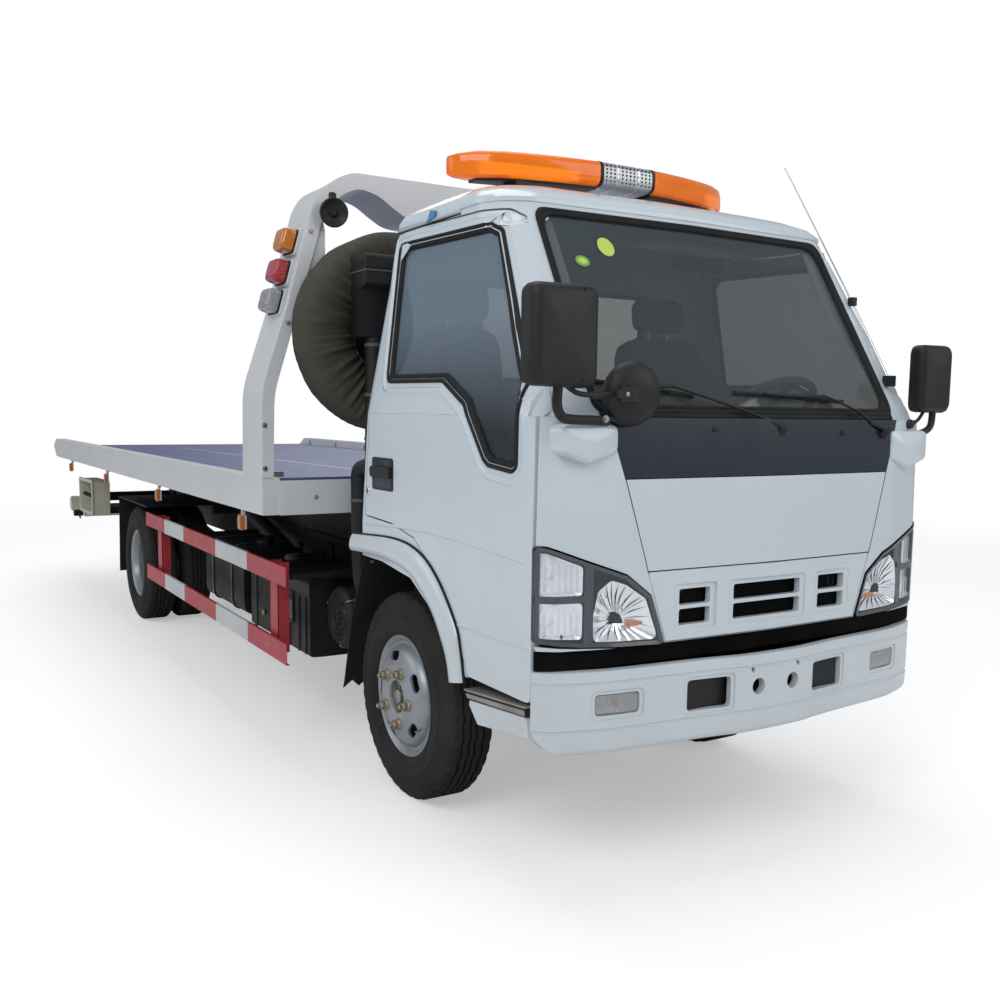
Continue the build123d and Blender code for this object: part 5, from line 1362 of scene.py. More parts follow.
def wheel_nut(shape, centre, out, foot, nut, stud):
    """Washer, nut and stud; their heights are over the hub's face."""
    shape.lathe(((0, foot), (22, foot), (21, 5), (16, 9), (0, 9)), centre, out, "brass", 24)
    shape.lathe(((0, 8), (17, 8), (17, nut - 4), (14, nut), (0, nut)), centre, out, "brass", 6)
    shape.lathe(((0, nut - 2), (9, nut - 2), (9, stud - 2), (7, stud), (0, stud)), centre, out,
                "steel", 14)


NUT_R = 101
FRONT_Y = 683           # middles of the front wheels, and of the twin rear ones
TWIN_OUT, TWIN_IN = 828, 598
for corner, side in (("front_left", 1), ("front_right", -1)):
    body = "wheel_" + corner
    y = side * FRONT_Y
    rubber = Shape("tyre_detail_" + corner, body)
    tyre_at(rubber, 0, y, side)
    rubber.finish(smooth=28, replaces=("tyre_" + corner,))
    disc_at("disc_" + corner, 0, y, side, body)
    ring_piece = Shape("rim_detail_" + corner, body)
    at = (0, y, AXLE_Z)
    out = (0, side, 0)
    ring_piece.lathe(RIM_RING + (RIM_RING[0],), at, out, "rim", 80)
    ring_piece.lathe(((0, 60), (60, 60), (62, 40), (118, 40), (150, 20), (158, -30), (158, -60),
                      (0, -60)), at, out, "cast", 48)
    ring_piece.lathe(((0, 98), (54, 98), (58, 104), (58, 60), (0, 60)), at, out, "exhaust", 40)
    ring_piece.lathe(((0, 114), (20, 113), (26, 109), (28, 96), (0, 96)), at, out, "steel", 28)
    for a in angles(6, radians(20)):
        ring_piece.bolt((42 * cos(a), y + side * 98, AXLE_Z + 42 * sin(a)), out, 7, 7, "exhaust",
                        False)
    for a in angles(5, radians(67)):
        nut_at = (NUT_R * cos(a), y + side * 115, AXLE_Z + NUT_R * sin(a))
        wheel_nut(ring_piece, nut_at, out, 0, 26, 38)
    valve = (178 * cos(-0.5), y + side * 92, AXLE_Z + 178 * sin(-0.5))
    ring_piece.lathe(((0, -4), (4, -4), (4, 24), (0, 26)), valve, (0.3, side, -0.2), "brass", 10)
    ring_piece.finish(smooth=40, replaces=("wheel_" + corner,))

REAR_AXLE = -3815
for name, side in (("rear_left", 1), ("rear_right", -1)):
    body = "wheels_" + name
    rubber = Shape("tyre_detail_" + name, body)
    for y in (TWIN_OUT, TWIN_IN):
        tyre_at(rubber, REAR_AXLE, side * y, side)
    rubber.finish(smooth=28, replaces=("tyres_" + name,))
    disc_at("disc_outer_" + name, REAR_AXLE, side * TWIN_OUT, -side, body)
    twin = Shape("rim_detail_" + name, body)
    out = (0, side, 0)
    for y, way in ((TWIN_OUT, -side), (TWIN_IN, side)):
        twin.lathe(RIM_RING + (RIM_RING[0],), (REAR_AXLE, side * y, AXLE_Z), (0, way, 0), "rim", 72)
    twin.lathe(((0, 118), (190, 118), (196, 104), (196, 40), (188, 40), (186, 100), (0, 108)),
               (REAR_AXLE, side * TWIN_IN, AXLE_Z), out, "rim", 48)
    hub_y = side * (TWIN_OUT - 104)
    twin.lathe(((0, 100), (34, 99), (44, 92), (54, 70), (60, 62), (74, 60), (74, -20), (0, -20)),
               (REAR_AXLE, hub_y, AXLE_Z), out, "cast", 36)
    for a in angles(8, radians(22)):
        twin.bolt((REAR_AXLE + 66 * cos(a), hub_y + side * 58, AXLE_Z + 66 * sin(a)), out, 7, 9,
                  "steel", False)
    for a in angles(5, radians(31)):
        nut_at = (REAR_AXLE + NUT_R * cos(a), hub_y, AXLE_Z + NUT_R * sin(a))
        wheel_nut(twin, nut_at, out, -2, 28, 46)
    twin.finish(smooth=40, replaces=("wheels_" + name,))

# ---- side guards --------------------------------------------------------------------------
GUARD_BANDS = ((-2863, -2426, "red"), (-2426, -2005, "guard_white"), (-2005, -1428, "red"),
               (-1428, -940, "guard_white"), (-940, -448, "red"))
GUARD_END = -2860
GUARD_OUT, GUARD_FLANGE = 1060, 14
POST_OUT = 1034
for side, name in SIDES:
    bars = Shape("guard_bars_" + name, "chassis")
    posts = Shape("guard_posts_" + name, "chassis")
    out, back = side * GUARD_OUT, side * (GUARD_OUT - GUARD_FLANGE)
    for z0, z1 in ((747, 825), (434, 518)):
        for a, b, look in GUARD_BANDS:
            bars.box(a, b - 0.4, out, out - side * 3, z0, z1, look)
            bars.box(a, b - 0.4, out, back, z1 - 3, z1, look)
            bars.box(a, b - 0.4, out, back, z0, z0 + 3, look)
        bars.box(GUARD_END - 1.5, GUARD_END + 1.5, out - side * 2, back, z0 + 3, z1 - 3, "red")
    for station, arm_z in ((-666, 742), (-2640, 692)):
        for x0, x1, depth in ((-45, -41, 50), (41, 45, 50), (-45, 45, 4)):
            posts.box(station + x0, station + x1, side * POST_OUT, side * (POST_OUT - depth), 444,
                      820, "red")
        for x0, x1, rise in ((-25, 25, 4), (-27, -23, 22), (23, 27, 22)):
            posts.box(station + x0, station + x1, side * RAIL_OUT, side * (POST_OUT - 4), arm_z,
                      arm_z + rise, "chassis")
        for z in (475, 786):
            for end in (-18, 18):
                posts.bolt((station + end, out, z), (0, side, 0), 6, 4)
    bars.finish(bevel=1.2, smooth=35, replaces=("side_guards",) if side < 0 else (),
                slot="guard_red")
    posts.finish(bevel=1.0, smooth=35, slot="guard_red")

# ---- portal lamps and marker lamps --------------------------------------------------------
LEG_LAMPS = ((2094, "amber"), (1972, "red_lens"), (1856, "ribbed_lens"))
LEG_LOW, LEG_HIGH = (1009, 1847), (902, 2243)   # the leg's outer edge as (y, z)
LEG_LEAN = (0.261, 0.965)
lenses = Shape("leg_lamps", "bed")
bases = Shape("leg_lamp_bases", "bed")


def leg_lamp(z, side, look):
    """Lamp block on the leaning outer face of a portal leg."""
    t = (z - LEG_LOW[1]) / (LEG_HIGH[1] - LEG_LOW[1])
    y = LEG_LOW[0] + t * (LEG_HIGH[0] - LEG_LOW[0])
    up_v = Vector((0, -side * LEG_LEAN[0], LEG_LEAN[1]))
    out_v = Vector((0, side * LEG_LEAN[1], LEG_LEAN[0]))
    along = Vector((1, 0, 0))
    c = P(-640, y * side, z)

    def slab(shape, half_x, half_z, r, lifts, slab_look):
        outline = rounded(rect(-half_x, half_x, -half_z, half_z), r, 5)
        shape.loft([[c + along * (a * shrink / 1000) + up_v * (b * shrink / 1000)
                     + out_v * (lift / 1000) for a, b in outline] for lift, shrink in lifts],
                   slab_look)

    slab(bases, 68, 54, 16, ((-2, 1), (10, 1), (14, 0.96)), "guard_white")
    slab(bases, 61, 48, 20, ((12, 1), (20, 1), (21, 0.97)), "rubber")
    slab(lenses, 58, 45, 20, ((20, 1), (46, 0.985), (58, 0.95), (66, 0.86), (70, 0.72),
                              (72, 0.4)), look)
    for end in (-1, 1):
        tip = (c + along * (0.050 * end) + out_v * 0.050) * 1000
        bases.lathe(((0, 0), (4.5, 0), (4.5, 2), (0, 2.5)), (tip.x - ORIGIN, tip.y, tip.z), out_v,
                    "steel", 10)


for z, look in LEG_LAMPS:
    for side in (-1, 1):
        leg_lamp(z, side, look)
MARKERS = (-854, -2345, -3804, -5219)
for station in MARKERS:
    for side in (-1, 1):
        bases.box(station - 24, station + 24, side * 1098, side * 1101, 988, 1024, "guard_white")
        bases.box(station - 26, station + 26, side * 1092, side * 1101, 938, 996, "guard_white")
        for half, z0, z1, y0, y1 in ((27, 934, 998, 1101, 1113), (20, 941, 991, 1112, 1118)):
            pane = rounded(rect(station - half, station + half, z0, z1), 8, 3)
            lenses.prism(pane, "xz", side * y0, side * y1, "orange_lens")
        bases.tube(((station - 20, side * 1096, 985), (station - 60, side * 1080, 1004),
                    (station - 78, side * 1060, 1023)), 4, "rubber", 8, 5)
        bases.bolt((station + 12, side * 1101, 1012), (0, side, 0), 5, 4)
lenses.finish(smooth=50, replaces=("bed_lamps",), slot="lamp_amber")
bases.finish(bevel=0.8, smooth=40, slot="bed_white")
horn = Shape("work_lamps", "bed")
for side in (-1, 1):
    c = (-534, side * 828, 2210)
    horn.lathe(((0, 50), (10, 52), (16, 46), (20, 40), (38, 44), (52, 56), (56, 54), (57, 46),
                (44, 26), (30, 10), (24, 0), (22, -6), (0, -6)), c, (1, side * 0.15, -0.1),
               "plastic", 36)
    horn.tube(((-540, side * 828, 2225), (-548, side * 826, 2262), (-556, side * 822, 2284)), 12,
              "plastic", 10, 4)
    horn.lathe(((0, 0), (18, 0), (18, 24), (12, 30), (0, 30)), (-542, side * 822, 2262),
               (0, 0, 1), "plastic", 20)
horn.finish(smooth=45, slot="black_plastic")

# ---- portal, with its bolts ---------------------------------------------------------------
ARCH_OUT = ((1120, 1168), (1116, 1518), (1009, 1847), (902, 2243), (864, 2305), (797, 2352),
            (736, 2378))
ARCH_IN = ((1074, 1168), (1067, 1500), (964, 1840), (861, 2195), (797, 2278), (710, 2322),
           (624, 2302), (565, 2263), (500, 2225), (440, 2215))
PORTAL_REAR, PORTAL_FRONT = -784, -534
arch_line = list(ARCH_OUT) + [(-y, z) for y, z in reversed(ARCH_OUT)]
arch_line += [(-y, z) for y, z in ARCH_IN] + list(reversed(ARCH_IN))
bends = [400 if 1170 < z else 0.5 for _, z in arch_line]
arch = Shape("portal_arch", "bed")
arch.prism(rounded(arch_line, bends, 6), "yz", PORTAL_REAR, PORTAL_FRONT, "bed_white")
for side in (-1, 1):
    rib = ((849, 2144), (861, 2195), (880, 2132), (940, 1908), (964, 1840), (938, 1858),
           (849, 1990))
    arch.prism([(side * y, z) for y, z in rib], "yz", -560, -546, "bed_white")
arch.finish(bevel=8, segments=3, smooth=40, replaces=("portal",), slot="bed_white")
face = Shape("bed_front_face", "bed")
face.box(PORTAL_FRONT, PORTAL_FRONT + 3.5, -1050, 1050, 1022, 1160, "bed_white")
for y in (-900, -540, -180, 180, 540, 900):
    face.bolt((PORTAL_FRONT + 3.5, y, 1090), (1, 0, 0), 7, 5, "steel")
face.finish(bevel=1.0, smooth=35, slot="bed_white")
oil = Shape("hydraulic_tank_detail", "chassis")
oil.prism(rounded(((-845, 378), (-845, 700), (-830, 716), (-540, 716), (-528, 700), (-528, 378)),
                  18, 4), "yz", -1560, -1150, "chassis")
for station in (-1480, -1230):
    oil.box(station - 20, station + 20, -850, -844, 374, 720, "plastic")
    oil.box(station - 20, station + 20, -850, -524, 716, 721, "plastic")
oil.lathe(((0, 0), (42, 0), (42, 12), (36, 18), (36, 26), (0, 28)), (-1355, -700, 716), (0, 0, 1),
          "cast", 28)
oil.lathe(((0, 0), (14, 0), (14, 8), (9, 12), (0, 12)), (-1355, -846, 470), (0, -1, 0), "brass", 12)
oil.finish(bevel=3, smooth=35, slot="chassis_black")
bolts = Shape("portal_bolts", "bed")
for y, z in ((912, 2133), (1009, 1775), (1108, 1378), (1108, 1376), (1108, 1209), (1108, 1208)):
    for side in (-1, 1):
        bolts.bolt((PORTAL_FRONT + 1, side * y, z), (1, 0, 0), 7, 6)
bolts.finish(smooth=35, slot="cable_steel")

# ---- cover of the spare wheel -------------------------------------------------------------
SPARE = (-430, -610, 1745)
ELASTIC_R = 194
COVER_ROWS = ((390, -86), (393, -50), (394, 0), (393, 42), (387, 68), (374, 86), (354, 97),
              (332, 102), (308, 103), (284, 101), (262, 97), (243, 91), (226, 83), (212, 74),
              (201, 65), (ELASTIC_R, 58))
spare = Shape("spare_tyre", "chassis")
spare.lathe(((0, 8), (58, 10), (104, 12), (112, 2), (166, -4), (176, 26), (200, 52), (246, 74),
             (310, 80), (348, 72), (370, 52), (378, 24), (378, -62), (368, -88), (334, -98),
             (240, -96), (204, -84), (190, -62), (0, -62)), SPARE, (1, 0, 0), "tyre", 120)
# painted shade: near-black discs stand for the dark holes in the spare wheel
for a in angles(8):
    spare.lathe(((0, 0), (13, 0), (13, 3), (0, 3)),
                (SPARE[0] + 11, SPARE[1] + 84 * cos(a), SPARE[2] + 84 * sin(a)), (1, 0, 0),
                "painted_shade", 16)
spare.finish(smooth=35, replaces=("spare_wheel",), slot="rubber_black")


def cover_wave(a, r):
    """Gathers, as shifts in radius and depth: deep at the elastic, dying out to the tread."""
    near = min(1.0, max(0.0, (392 - r) / (392 - ELASTIC_R)))
    folds = sin(34 * a + 1.6 * sin(5 * a) + 1.1 * sin(11 * a + 1))
    pleat = 1 - 2 * abs(sin(29 * a + 1.3 * sin(7 * a + 2) + 0.8 * near))
    crease = 1 - 2 * abs(sin(14 * a + 2.1 * sin(3 * a) + 2.4 * near)) ** 0.6
    soft = sin(9 * a + 2 * sin(3 * a)) + 0.6 * sin(17 * a + 1.1)
    middle = near * (1 - near) * 4
    return (folds * 5.0 * near ** 3 + pleat * 2.4 * (1 - near) ** 0.5 * near ** 0.3
            + soft * 1.4 * (1 - near),
            folds * 8.0 * near ** 1.6 + pleat * 6.0 * near ** 0.8 + crease * 5.0 * middle
            + soft * 1.4)


COVER_STEPS = 480
cover = Shape("spare_cover", "chassis")
cloth = []
for a in angles(COVER_STEPS):
    for r, d in COVER_ROWS:
        dr, dd = cover_wave(a, r)
        cloth.append(P(SPARE[0] + d + dd - 4, SPARE[1] + (r + dr) * cos(a),
                       SPARE[2] + (r + dr) * sin(a)))
cover.add(cloth, strips(COVER_STEPS, len(COVER_ROWS), looped=True, wrap=False), "olive")
cover_obj = cover.finish(smooth=80, slot="cover_olive")
hoop = Shape("spare_elastic", "chassis")
hoop_path = []
for a in angles(96):
    dr, dd = cover_wave(a, ELASTIC_R)
    r = ELASTIC_R - 2 + dr
    hoop_path.append((SPARE[0] + 54 + dd, SPARE[1] + r * cos(a), SPARE[2] + r * sin(a)))
hoop.tube(hoop_path, 5, "olive", 8, 1, closed=True)
hoop.finish(smooth=70, slot="cover_olive")

# ---- intake, air cleaner, boxes -----------------------------------------------------------
intake = Shape("air_intake_detail", "chassis")
head = rounded(((-350, 1715), (-346, 1996), (-330, 2014), (-204, 2016), (-197, 2004), (-197, 1908),
                (-266, 1896), (-276, 1716)), 12, 4)
intake.prism(head, "xz", -826, -686, "plastic")
lid = rounded(((-353, 1962), (-349, 1998), (-331, 2018), (-202, 2019), (-194, 2006), (-194, 1962)),
              10, 4)
intake.prism(lid, "xz", -829, -683, "plastic")
intake.box(-352, -192, -830, -682, 1955, 1961, "cast")
for k in range(7):
    intake.box(-340 + k * 20, -330 + k * 20, -830.5, -826, 1968, 1998, "rubber")
intake.tube(((-310, -748, 1720), (-308, -748, 1300), (-316, -748, 1236), (-390, -748, 1214),
             (-440, -748, 1196), (-447, -748, 1120), (-447, -740, 760), (-470, -690, 700)), 34,
            "plastic", 20, 6)
for z in (1690, 1500, 1330, 1080, 900):
    x = -310 if z > 1300 else -447
    intake.lathe(((36, -7), (38, -5), (38, 5), (36, 7), (30, 7), (30, -7)), (x, -746, z),
                 (0, 0, 1), "cast", 28)
AIR = (-564, -429, 585)
intake.lathe(((0, 0), (108, 0), (112, 10), (118, 14), (118, 330), (124, 334), (126, 342),
              (124, 352), (118, 356), (112, 366), (104, 370), (92, 360), (84, 362), (76, 352),
              (58, 350), (50, 360), (40, 362), (30, 352), (14, 352), (10, 362), (0, 362)), AIR,
             (0, -1, 0), "plastic", 56)
for a in angles(3, radians(40)):
    x, z = AIR[0] + 124 * cos(a), AIR[2] + 124 * sin(a)
    intake.tube(((x, -740, z), (x + 5 * cos(a), -770, z + 5 * sin(a)),
                 (x - 4 * cos(a), -796, z - 4 * sin(a))), 4, "steel", 8, 4)
    intake.box(x - 9, x + 9, -764, -750, z - 9, z + 9, "steel")
intake.box(AIR[0] - 30, AIR[0] + 30, -433, -RAIL_OUT, 605, 685, "chassis")
intake.finish(bevel=2.5, smooth=38, replaces=("air_intake",), slot="black_plastic")

box_piece = Shape("battery_box_detail", "chassis")
outer = rounded(((-860, 386), (-860, 700), (-842, 714), (-520, 714), (-500, 700), (-500, 383),
                 (-800, 383)), 16, 4)
box_piece.prism(outer, "yz", -1088, -715, "plastic")
lid = rounded(((-864, 640), (-864, 704), (-846, 718), (-516, 718), (-496, 704), (-496, 640)), 14, 4)
box_piece.prism(lid, "yz", -1092, -711, "plastic")
for station in (-1040, -960, -840, -760):
    box_piece.box(station - 5, station + 5, -866, -862, 392, 636, "plastic")
box_piece.box(-966, -906, -866, -863, 500, 640, "plastic")
box_piece.box(-960, -912, -870, -865, 524, 604, "steel")
box_piece.box(-952, -920, -876, -869, 530, 560, "steel")
box_piece.tube(((-948, -874, 560), (-948, -877, 620), (-936, -877, 626), (-924, -877, 620),
                (-924, -874, 560)), 3, "steel", 8, 4)
for z in (534, 594):
    for x in (-954, -918):
        box_piece.bolt((x, -870, z), (0, -1, 0), 4, 3)
box_piece.finish(bevel=3, smooth=35, slot="black_plastic")
straps = Shape("battery_box_arms", "chassis")
for station in (-773, -1030):
    for half, y0, z0, z1 in ((25, -504, 420, 424), (25, -504, 456, 460), (3, -504, 424, 456),
                             (25, -RAIL_OUT - 12, 420, 680)):
        straps.box(station - half, station + half, y0, -RAIL_OUT, z0, z1, "chassis")
    for z in (600, 650):
        straps.bolt((station, -362, z), (0, -1, 0), 10, 8, "chassis")
straps.finish(bevel=1.2, smooth=35, replaces=("battery_box",), slot="chassis_black")

tank = Shape("tank_detail", "chassis")
body = rounded(((-850, 400), (-850, 735), (-530, 735), (-530, 400)), 60, 8)
tank.prism(body, "yz", -2350, -1658, "chassis")
for station in (-1860, -2200):
    hoop_line = rounded(((-854, 396), (-854, 739), (-526, 739), (-526, 396)), 62, 8)
    tank.tube([(station, y, z) for y, z in hoop_line], 3, "steel", 6, 1, closed=True)
    tank.prism(hoop_line, "yz", station - 20, station + 20, "rubber")
    tank.box(station - 25, station + 25, -530, -RAIL_OUT, 420, 460, "chassis")
    tank.box(station - 25, station + 25, -RAIL_OUT - 12, -RAIL_OUT, 420, 680, "chassis")
tank.lathe(((0, 0), (40, 0), (40, 30), (46, 32), (46, 50), (38, 56), (0, 56)), (-1730, -700, 728),
           (0, -0.3, 1), "plastic", 32)
tank.finish(bevel=2, smooth=40, replaces=("fuel_tank",), slot="tank_metal")

chest = Shape("tool_box_detail", "chassis")
chest.prism(rounded(((560, 400), (560, 740), (900, 740), (900, 400)), 20, 4), "yz", -1720, -1240,
            "blue")
chest.box(-1700, -1260, 900, 906, 424, 716, "blue")
chest.box(-1500, -1460, 906, 914, 640, 690, "steel")
for station in (-1640, -1320):
    chest.box(station - 30, station + 30, 906, 911, 416, 436, "steel")
for station in (-1300, -1650):
    chest.box(station - 25, station + 25, RAIL_OUT, 562, 420, 460, "chassis")
    chest.box(station - 25, station + 25, RAIL_OUT, RAIL_OUT + 12, 420, 680, "chassis")
chest.finish(bevel=2.5, smooth=35, replaces=("tool_box",), slot="bed_blue")

# ---- mud flaps and rear mudguards ---------------------------------------------------------
flaps = Shape("mud_flaps", "chassis")
for side in (-1, 1):
    edge = [(side * 545, 860), (side * 786, 872), (side * 800, 640), (side * 786, 330)]
    teeth = 7
    for k in range(teeth + 1):
        edge.append((side * (786 - (786 - 545) * k / teeth), 322 if k % 2 else 290))
    flaps.loft([[P(-306 - (872 - z) * 0.38 - depth, y, z) for y, z in edge] for depth in (0, 7)],
               "rubber")
    flaps.box(-370, -352, side * RAIL_OUT, side * 560, 740, 765, "chassis")
    for k in range(3):
        flaps.bolt((-306 - 12, side * (590 + k * 80), 850), (1, 0, 0.3), 8, 5)
    guard = ((-4286, 800), (-4270, 808), (-3400, 808), (-3395, 800))
    flaps.prism(rounded(guard, 3, 2), "xz", side * 480, side * 940, "plastic")
    flap = ((-4285, 800), (-4277, 800), (-4317, 262), (-4325, 262))
    flaps.prism(flap, "xz", side * 490, side * 935, "rubber")
    for station in (-4245, -3435):
        flaps.box(station - 20, station + 20, side * RAIL_OUT, side * 500, 740, 800, "chassis")
flaps.finish(bevel=1.5, smooth=35, replaces=("mudguards",))

# ---- wheel-arch flares, steps, skirt ------------------------------------------------------
FLARE_OUT = ((-290, 967), (70, 986), (267, 960), (405, 884), (525, 759), (557, 684), (583, 582))
FLARE_IN = ((-290, 899), (-36, 908), (196, 882), (362, 790), (451, 692), (490, 630), (507, 568))


def even_curve(points, count):
    """Smooth line through points, as count points at even steps."""
    pts = [Vector(p) for p in curved(points, 10)]
    total = [0]
    for a, b in zip(pts[:-1], pts[1:]):
        total.append(total[-1] + (b - a).length)
    out = []
    i = 0
    for k in range(count):
        want = total[-1] * k / (count - 1)
        while i < len(pts) - 2 and total[i + 1] < want:
            i += 1
        t = (want - total[i]) / max(1e-9, total[i + 1] - total[i])
        out.append(pts[i].lerp(pts[i + 1], min(1, t)))
    return out


flares = Shape("wheel_arch_flares", "cab")
outer, inner = even_curve(FLARE_OUT, 44), even_curve(FLARE_IN, 44)
# share from the inner to the outer edge, distance from the middle
ROUND = ((0, 838), (0.02, 850), (0.1, 857), (0.3, 860), (0.6, 858), (0.86, 852), (0.97, 845),
         (1, 834), (0.5, 834))
rings = []
for p, q in zip(inner, outer):
    line = [(p.lerp(q, share), y) for share, y in ROUND]
    rings.append([P(v.x, -y, v.y) for v, y in line])
flares.loft(rings, "white")
lip = [P(v.x, -835.5, v.y) for v in outer]
flares.bead(lip, [Vector((0, -1, 0))] * len(lip), ((-4, -2), (-4, 5), (-1, 8), (3, 6), (4, -2)),
            "rubber", closed=False)
flares.mirror()
flares.finish(smooth=50)

steps = Shape("steps_detail", "chassis")
band = ((584, 560), (936, 590), (938, 562), (604, 532))
steps.prism(band, "xz", -834, -640, "plastic")
steps.prism(((582, 556), (938, 588), (936, 594), (580, 562)), "xz", -838, -644, "chequer")
steps.prism(((592, 550), (936, 582), (936, 566), (606, 538)), "xz", -839, -834, "chequer")
skirt = rounded(((602, 512), (604, 530), (934, 560), (950, 500), (656, 463)), 8, 4)
steps.prism(skirt, "xz", -830, -800, "white")
steps.box(600, 890, -640, -300, 548, 566, "chassis")
for x0, x1 in ((600, 660), (780, 840)):
    steps.box(x0, x1, -340, -310, 548, 590, "chassis")
steps.mirror()
steps.finish(bevel=1.6, smooth=35, replaces=("cab_steps",), slot="black_plastic")

# ---- doors: creases, handles, keyholes ----------------------------------------------------
CREASES = ((((-185, 1016), (80, 1028), (330, 1035), (640, 1027), (944, 1011)), 9),
           (((512, 757), (700, 761), (943, 764)), 6))
for side, name in SIDES:
    crease = Shape("door_creases_" + name, "door_" + name)
    for pts, wide in CREASES:
        path, nrm = on_skin(even_curve(pts, 36), "right")
        crease.bead(path, softened(nrm, False, 4),
                    ((-wide, -1.5), (-wide * 0.5, 1.2), (0, 2.6), (wide * 0.35, 1.5),
                     (wide * 0.5, -1.5)), "white", closed=False)
    if side > 0:
        crease.flip()
    crease.finish(smooth=60)
    handle = Shape("door_handle_" + name, "door_" + name)
    for x0, x1, z0, z1, r, n, y0, y1, look in (
            (-124, 52, 1152, 1270, 14, 4, 834, 838, "plastic"),
            (-112, 40, 1160, 1262, 12, 4, 836, 839, "gloss_black"),
            (-118, 46, 1198, 1238, 16, 5, 842, 852, "plastic")):
        handle.prism(rounded(rect(x0, x1, z0, z1), r, n), "xz", side * y0, side * y1, look)
    for x in (-108, 36):
        handle.box(x - 10, x + 10, side * 836, side * 846, 1204, 1232, "plastic")
    handle.lathe(((0, 0), (15, 0), (15, 3), (11, 5), (0, 5)), (-160, side * 835, 1140),
                 (0, side, 0), "chrome", 24)
    handle.box(-162, -158, side * 840, side * 841, 1132, 1148, "rubber")
    handle.finish(bevel=1.5, smooth=38)
tape = Shape("drip_rail_tape", "cab")
tape.prism(((150, 2080), (205, 2092), (214, 2112), (180, 2118), (164, 2092)), "xz", -760, -752,
           "blue_tape")
tape.finish(smooth=40, slot="bed_blue")

# ---- painted shade: dark sheets in the gaps under the front panels and behind the bumper ---
UNDER_FRONT_EDGE = ((1044, -2), (1038, 400), (1018, 640), (986, 775), (964, 822))
BEHIND_BUMPER_EDGE = ((1090, -2), (1078, 220), (1060, 340), (1032, 600), (1004, 710), (974, 788), (948, 824))
for name, body, edge, depth, z0, z1, slot in (
        ("front_valance", "cab", UNDER_FRONT_EDGE, 8, 704, 768, "black_plastic"),
        ("bumper_shelf", "chassis", BEHIND_BUMPER_EDGE, 120, 672, 677, "chassis_black")):
    piece = Shape(name, body)
    for s in (-1, 1):
        loop = [(x, s * y) for x, y in edge] + [(x - depth, s * y) for x, y in reversed(edge)]
        piece.prism(loop, "xy", z0, z1, "painted_shade")
    piece.finish(smooth=40, slot=slot)

# ---- deck, rails, rear of the bed ---------------------------------------------------------
deck = Shape("deck_line", "bed")
deck.prism(((-5134, -276), (-5134, -264), (-1948, -138), (-1948, -150)), "xy", 1111.6, 1112.8,
           "guard_white")
for side in (-1, 1):
    deck.box(-1260, -800, side * 780, side * 1046, 1111.5, 1118, "zinc")
    deck.box(-1260, -1250, side * 780, side * 1046, 1112, 1150, "zinc")
    deck.lathe(((0, 0), (22, 0), (22, 6), (16, 10), (0, 10)), (-1160, side * 930, 1118),
               (0, 0, 1), "brass", 24)
    for x in (-1220, -860):
        deck.bolt((x, side * 1010, 1118), (0, 0, 1), 8, 7, "steel")
deck.finish(bevel=0.8, smooth=35, slot="deck_steel")
rail_detail = Shape("rail_details", "bed")
for side in (-1, 1):
    for station in range(-5700, -700, 620):
        rail_detail.box(station - 16, station + 16, side * 1046, side * 1052, 1112, 1150, "steel")
rail_detail.finish(bevel=0.8, smooth=35, slot="bed_white")
dress("bed_rails", "bed_white", 7, 3, 30)
dress("bed_deck", "blue")
DONE.update(("bed_rails", "bed_deck"))

# ---- control box, crossbar ends -----------------------------------------------------------
control = Shape("control_box_detail", "chassis")
X0, X1 = -5180, -4665
mouth = rounded(((X0, 636), (X0 - 14, 884), (X1 + 6, 890), (X1, 640)), 22, 4)
hole = rounded(((X0 + 16, 652), (X0 + 6, 868), (X1 - 12, 872), (X1 - 14, 656)), 16, 4)
control.loft([[P(a, y, b) for a, b in line]
              for line, y in ((mouth, -926), (mouth, -1040), (offset(mouth, 8), -1044),
                              (offset(mouth, 8), -1056), (hole, -1056), (hole, -936))], "beige")
for k in range(4):
    x = X0 + 130 + k * 85
    control.tube(((x, -940, 740), (x + 2, -1000, 748), (x + 4, -1034, 770)), 6, "steel", 10, 4)
    control.ball((x + 4, -1038, 774), 15, "rubber", 16)
    control.box(x - 22, x + 22, -946, -936, 700, 790, "cast")
control.box(-5030, -4705, -940, -RAIL_OUT, 640, 690, "chassis")
control.finish(bevel=1.5, smooth=40, replaces=("control_box",), slot="box_beige")
fittings = Shape("crossbar_fittings", "lift_crossbar")
for side in (-1, 1):
    fittings.lathe(((62.5, 0), (66, 2), (66, 22), (62.5, 24)), (-5850, side * 880, 626),
                   (0, side, 0), "cast", 40)
    fittings.lathe(((0, 0), (52, 0), (56, 4), (56, 8), (0, 8)), (-5850, side * 1014, 626),
                   (0, side, 0), "beige", 40)
    fittings.box(-5884, -5816, side * 930, side * 1000, 520, 566, "rubber")
    fittings.tube(((-5850, side * 960, 560), (-5838, side * 958, 520), (-5850, side * 950, 500)), 9,
                  "steel", 10, 5)
    fittings.bolt((-5850, side * 905, 566), (0, 0, -1), 14, 12, "steel")
fittings.finish(bevel=1.5, smooth=40, slot="cast_grey")

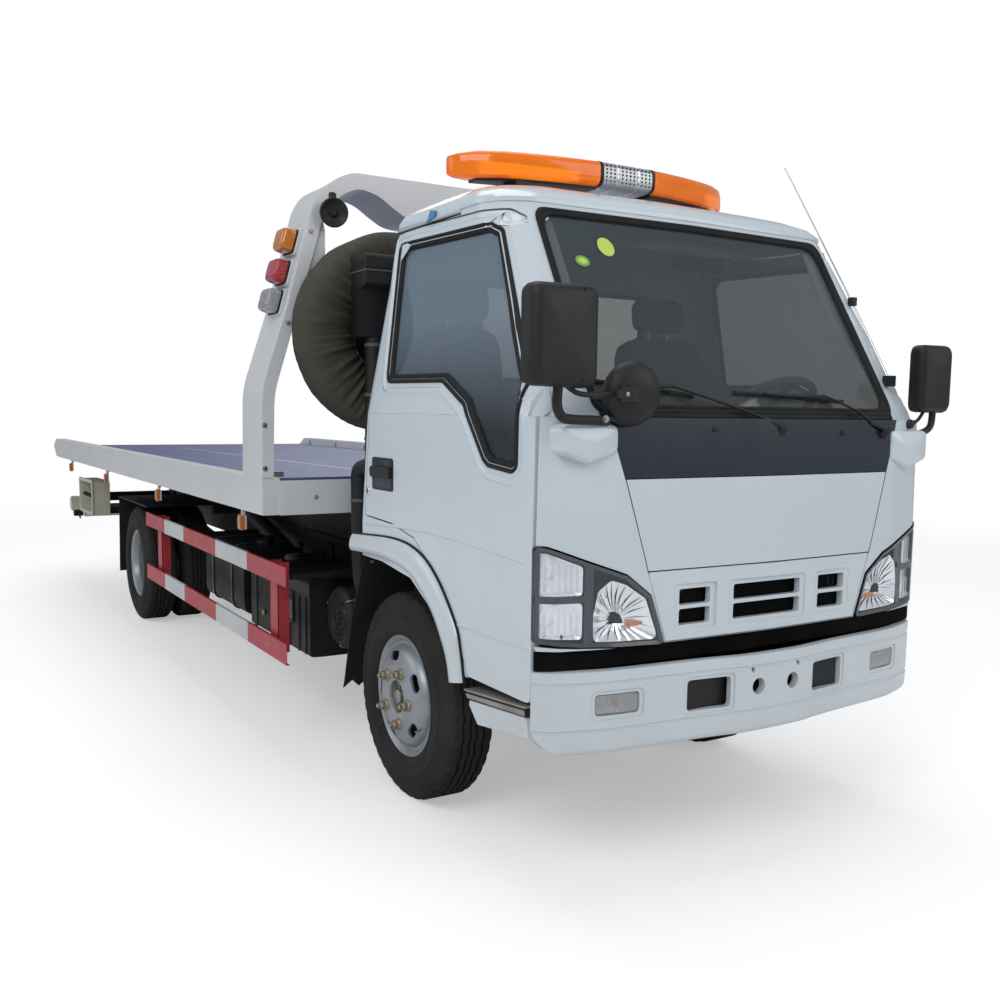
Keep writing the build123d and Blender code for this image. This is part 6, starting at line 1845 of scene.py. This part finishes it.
# ---- antenna ------------------------------------------------------------------------------
rod = Shape("antenna_detail", "cab")
rod.tube(((925, 700, 1571), (744, 700, 1858), (560, 700, 2141), (386, 700, 2405)),
         (4.2, 3.2, 2.4, 1.6), "chrome", 12, 8)
rod.ball((386, 700, 2405), 3.4, "chrome", 12)
rod.box(905, 945, 688, 712, 1548, 1586, "plastic")
rod.box(732, 757, 690, 712, 1845, 1876, "plastic")
rod.finish(bevel=1, smooth=50, replaces=("antenna",), slot="chrome")

# ---- seats --------------------------------------------------------------------------------
def cushion(name, corners, lo, hi):
    """Stuffed block over a side outline, pushed from lo to hi and rounded."""
    shape = Shape(name, "cab")
    mid = middle(corners)
    outline = [Vector(p) - mid for p in rounded(corners, 34, 4)]

    def section(share, shrink):
        y = lo + (hi - lo) * share
        return [(mid.x + p.x * shrink, y, mid.y + p.y * shrink) for p in outline]
    steps = 7
    shape.loft([[P(*p) for p in section(k / steps, 1 - 0.16 * abs(2 * k / steps - 1) ** 5)]
                for k in range(steps + 1)], "seat")
    for k in range(1, 4):
        shape.tube(section(k / 4, 1.004), 2.5, "rubber", 6, 1, closed=True)
    shape.finish(smooth=60, subsurf=1, slot="seat_fabric")


pedestals = Shape("seat_bases", "cab")
for y0, y1 in ((340, 680), (-690, -340)):
    pedestals.box(-40, 400, y0, y1, 905, 1120, "dash")
    pedestals.box(-30, 390, y0 + 20, y1 - 20, 1120, 1142, "cast")
for n, (y0, y1) in enumerate(((212, 698), (-698, -332))):
    y = (y0 + y1) / 2
    cushion("seat_cushion_%d" % n, ((-58, 1142), (418, 1142), (424, 1235), (380, 1262),
                                    (-40, 1240)), y0, y1)
    cushion("seat_back_%d" % n, ((-28, 1240), (78, 1240), (-16, 1760), (-104, 1742)), y0 + 10,
            y1 - 10)
    cushion("head_rest_%d" % n, ((-92, 1775), (-20, 1785), (-34, 1925), (-104, 1915)), y - 130,
            y + 130)
    for end in (-50, 50):
        pedestals.tube(((-60, y + end, 1745), (-64, y + end, 1800)), 6, "chrome", 10, 1)
pedestals.finish(bevel=3, smooth=40, replaces=("seats",), slot="seat_fabric")

# ---- CAD nodes that are shown as they are -------------------------------------------------
BEVELS = {"chassis_frame": 2}   # mm
for node_name in NODES:
    if node_name not in DONE:
        dress(node_name, NODE_LOOK.get(node_name, SLOT_LOOK[slot_of[node_name]]),
              BEVELS.get(node_name, 0.0))
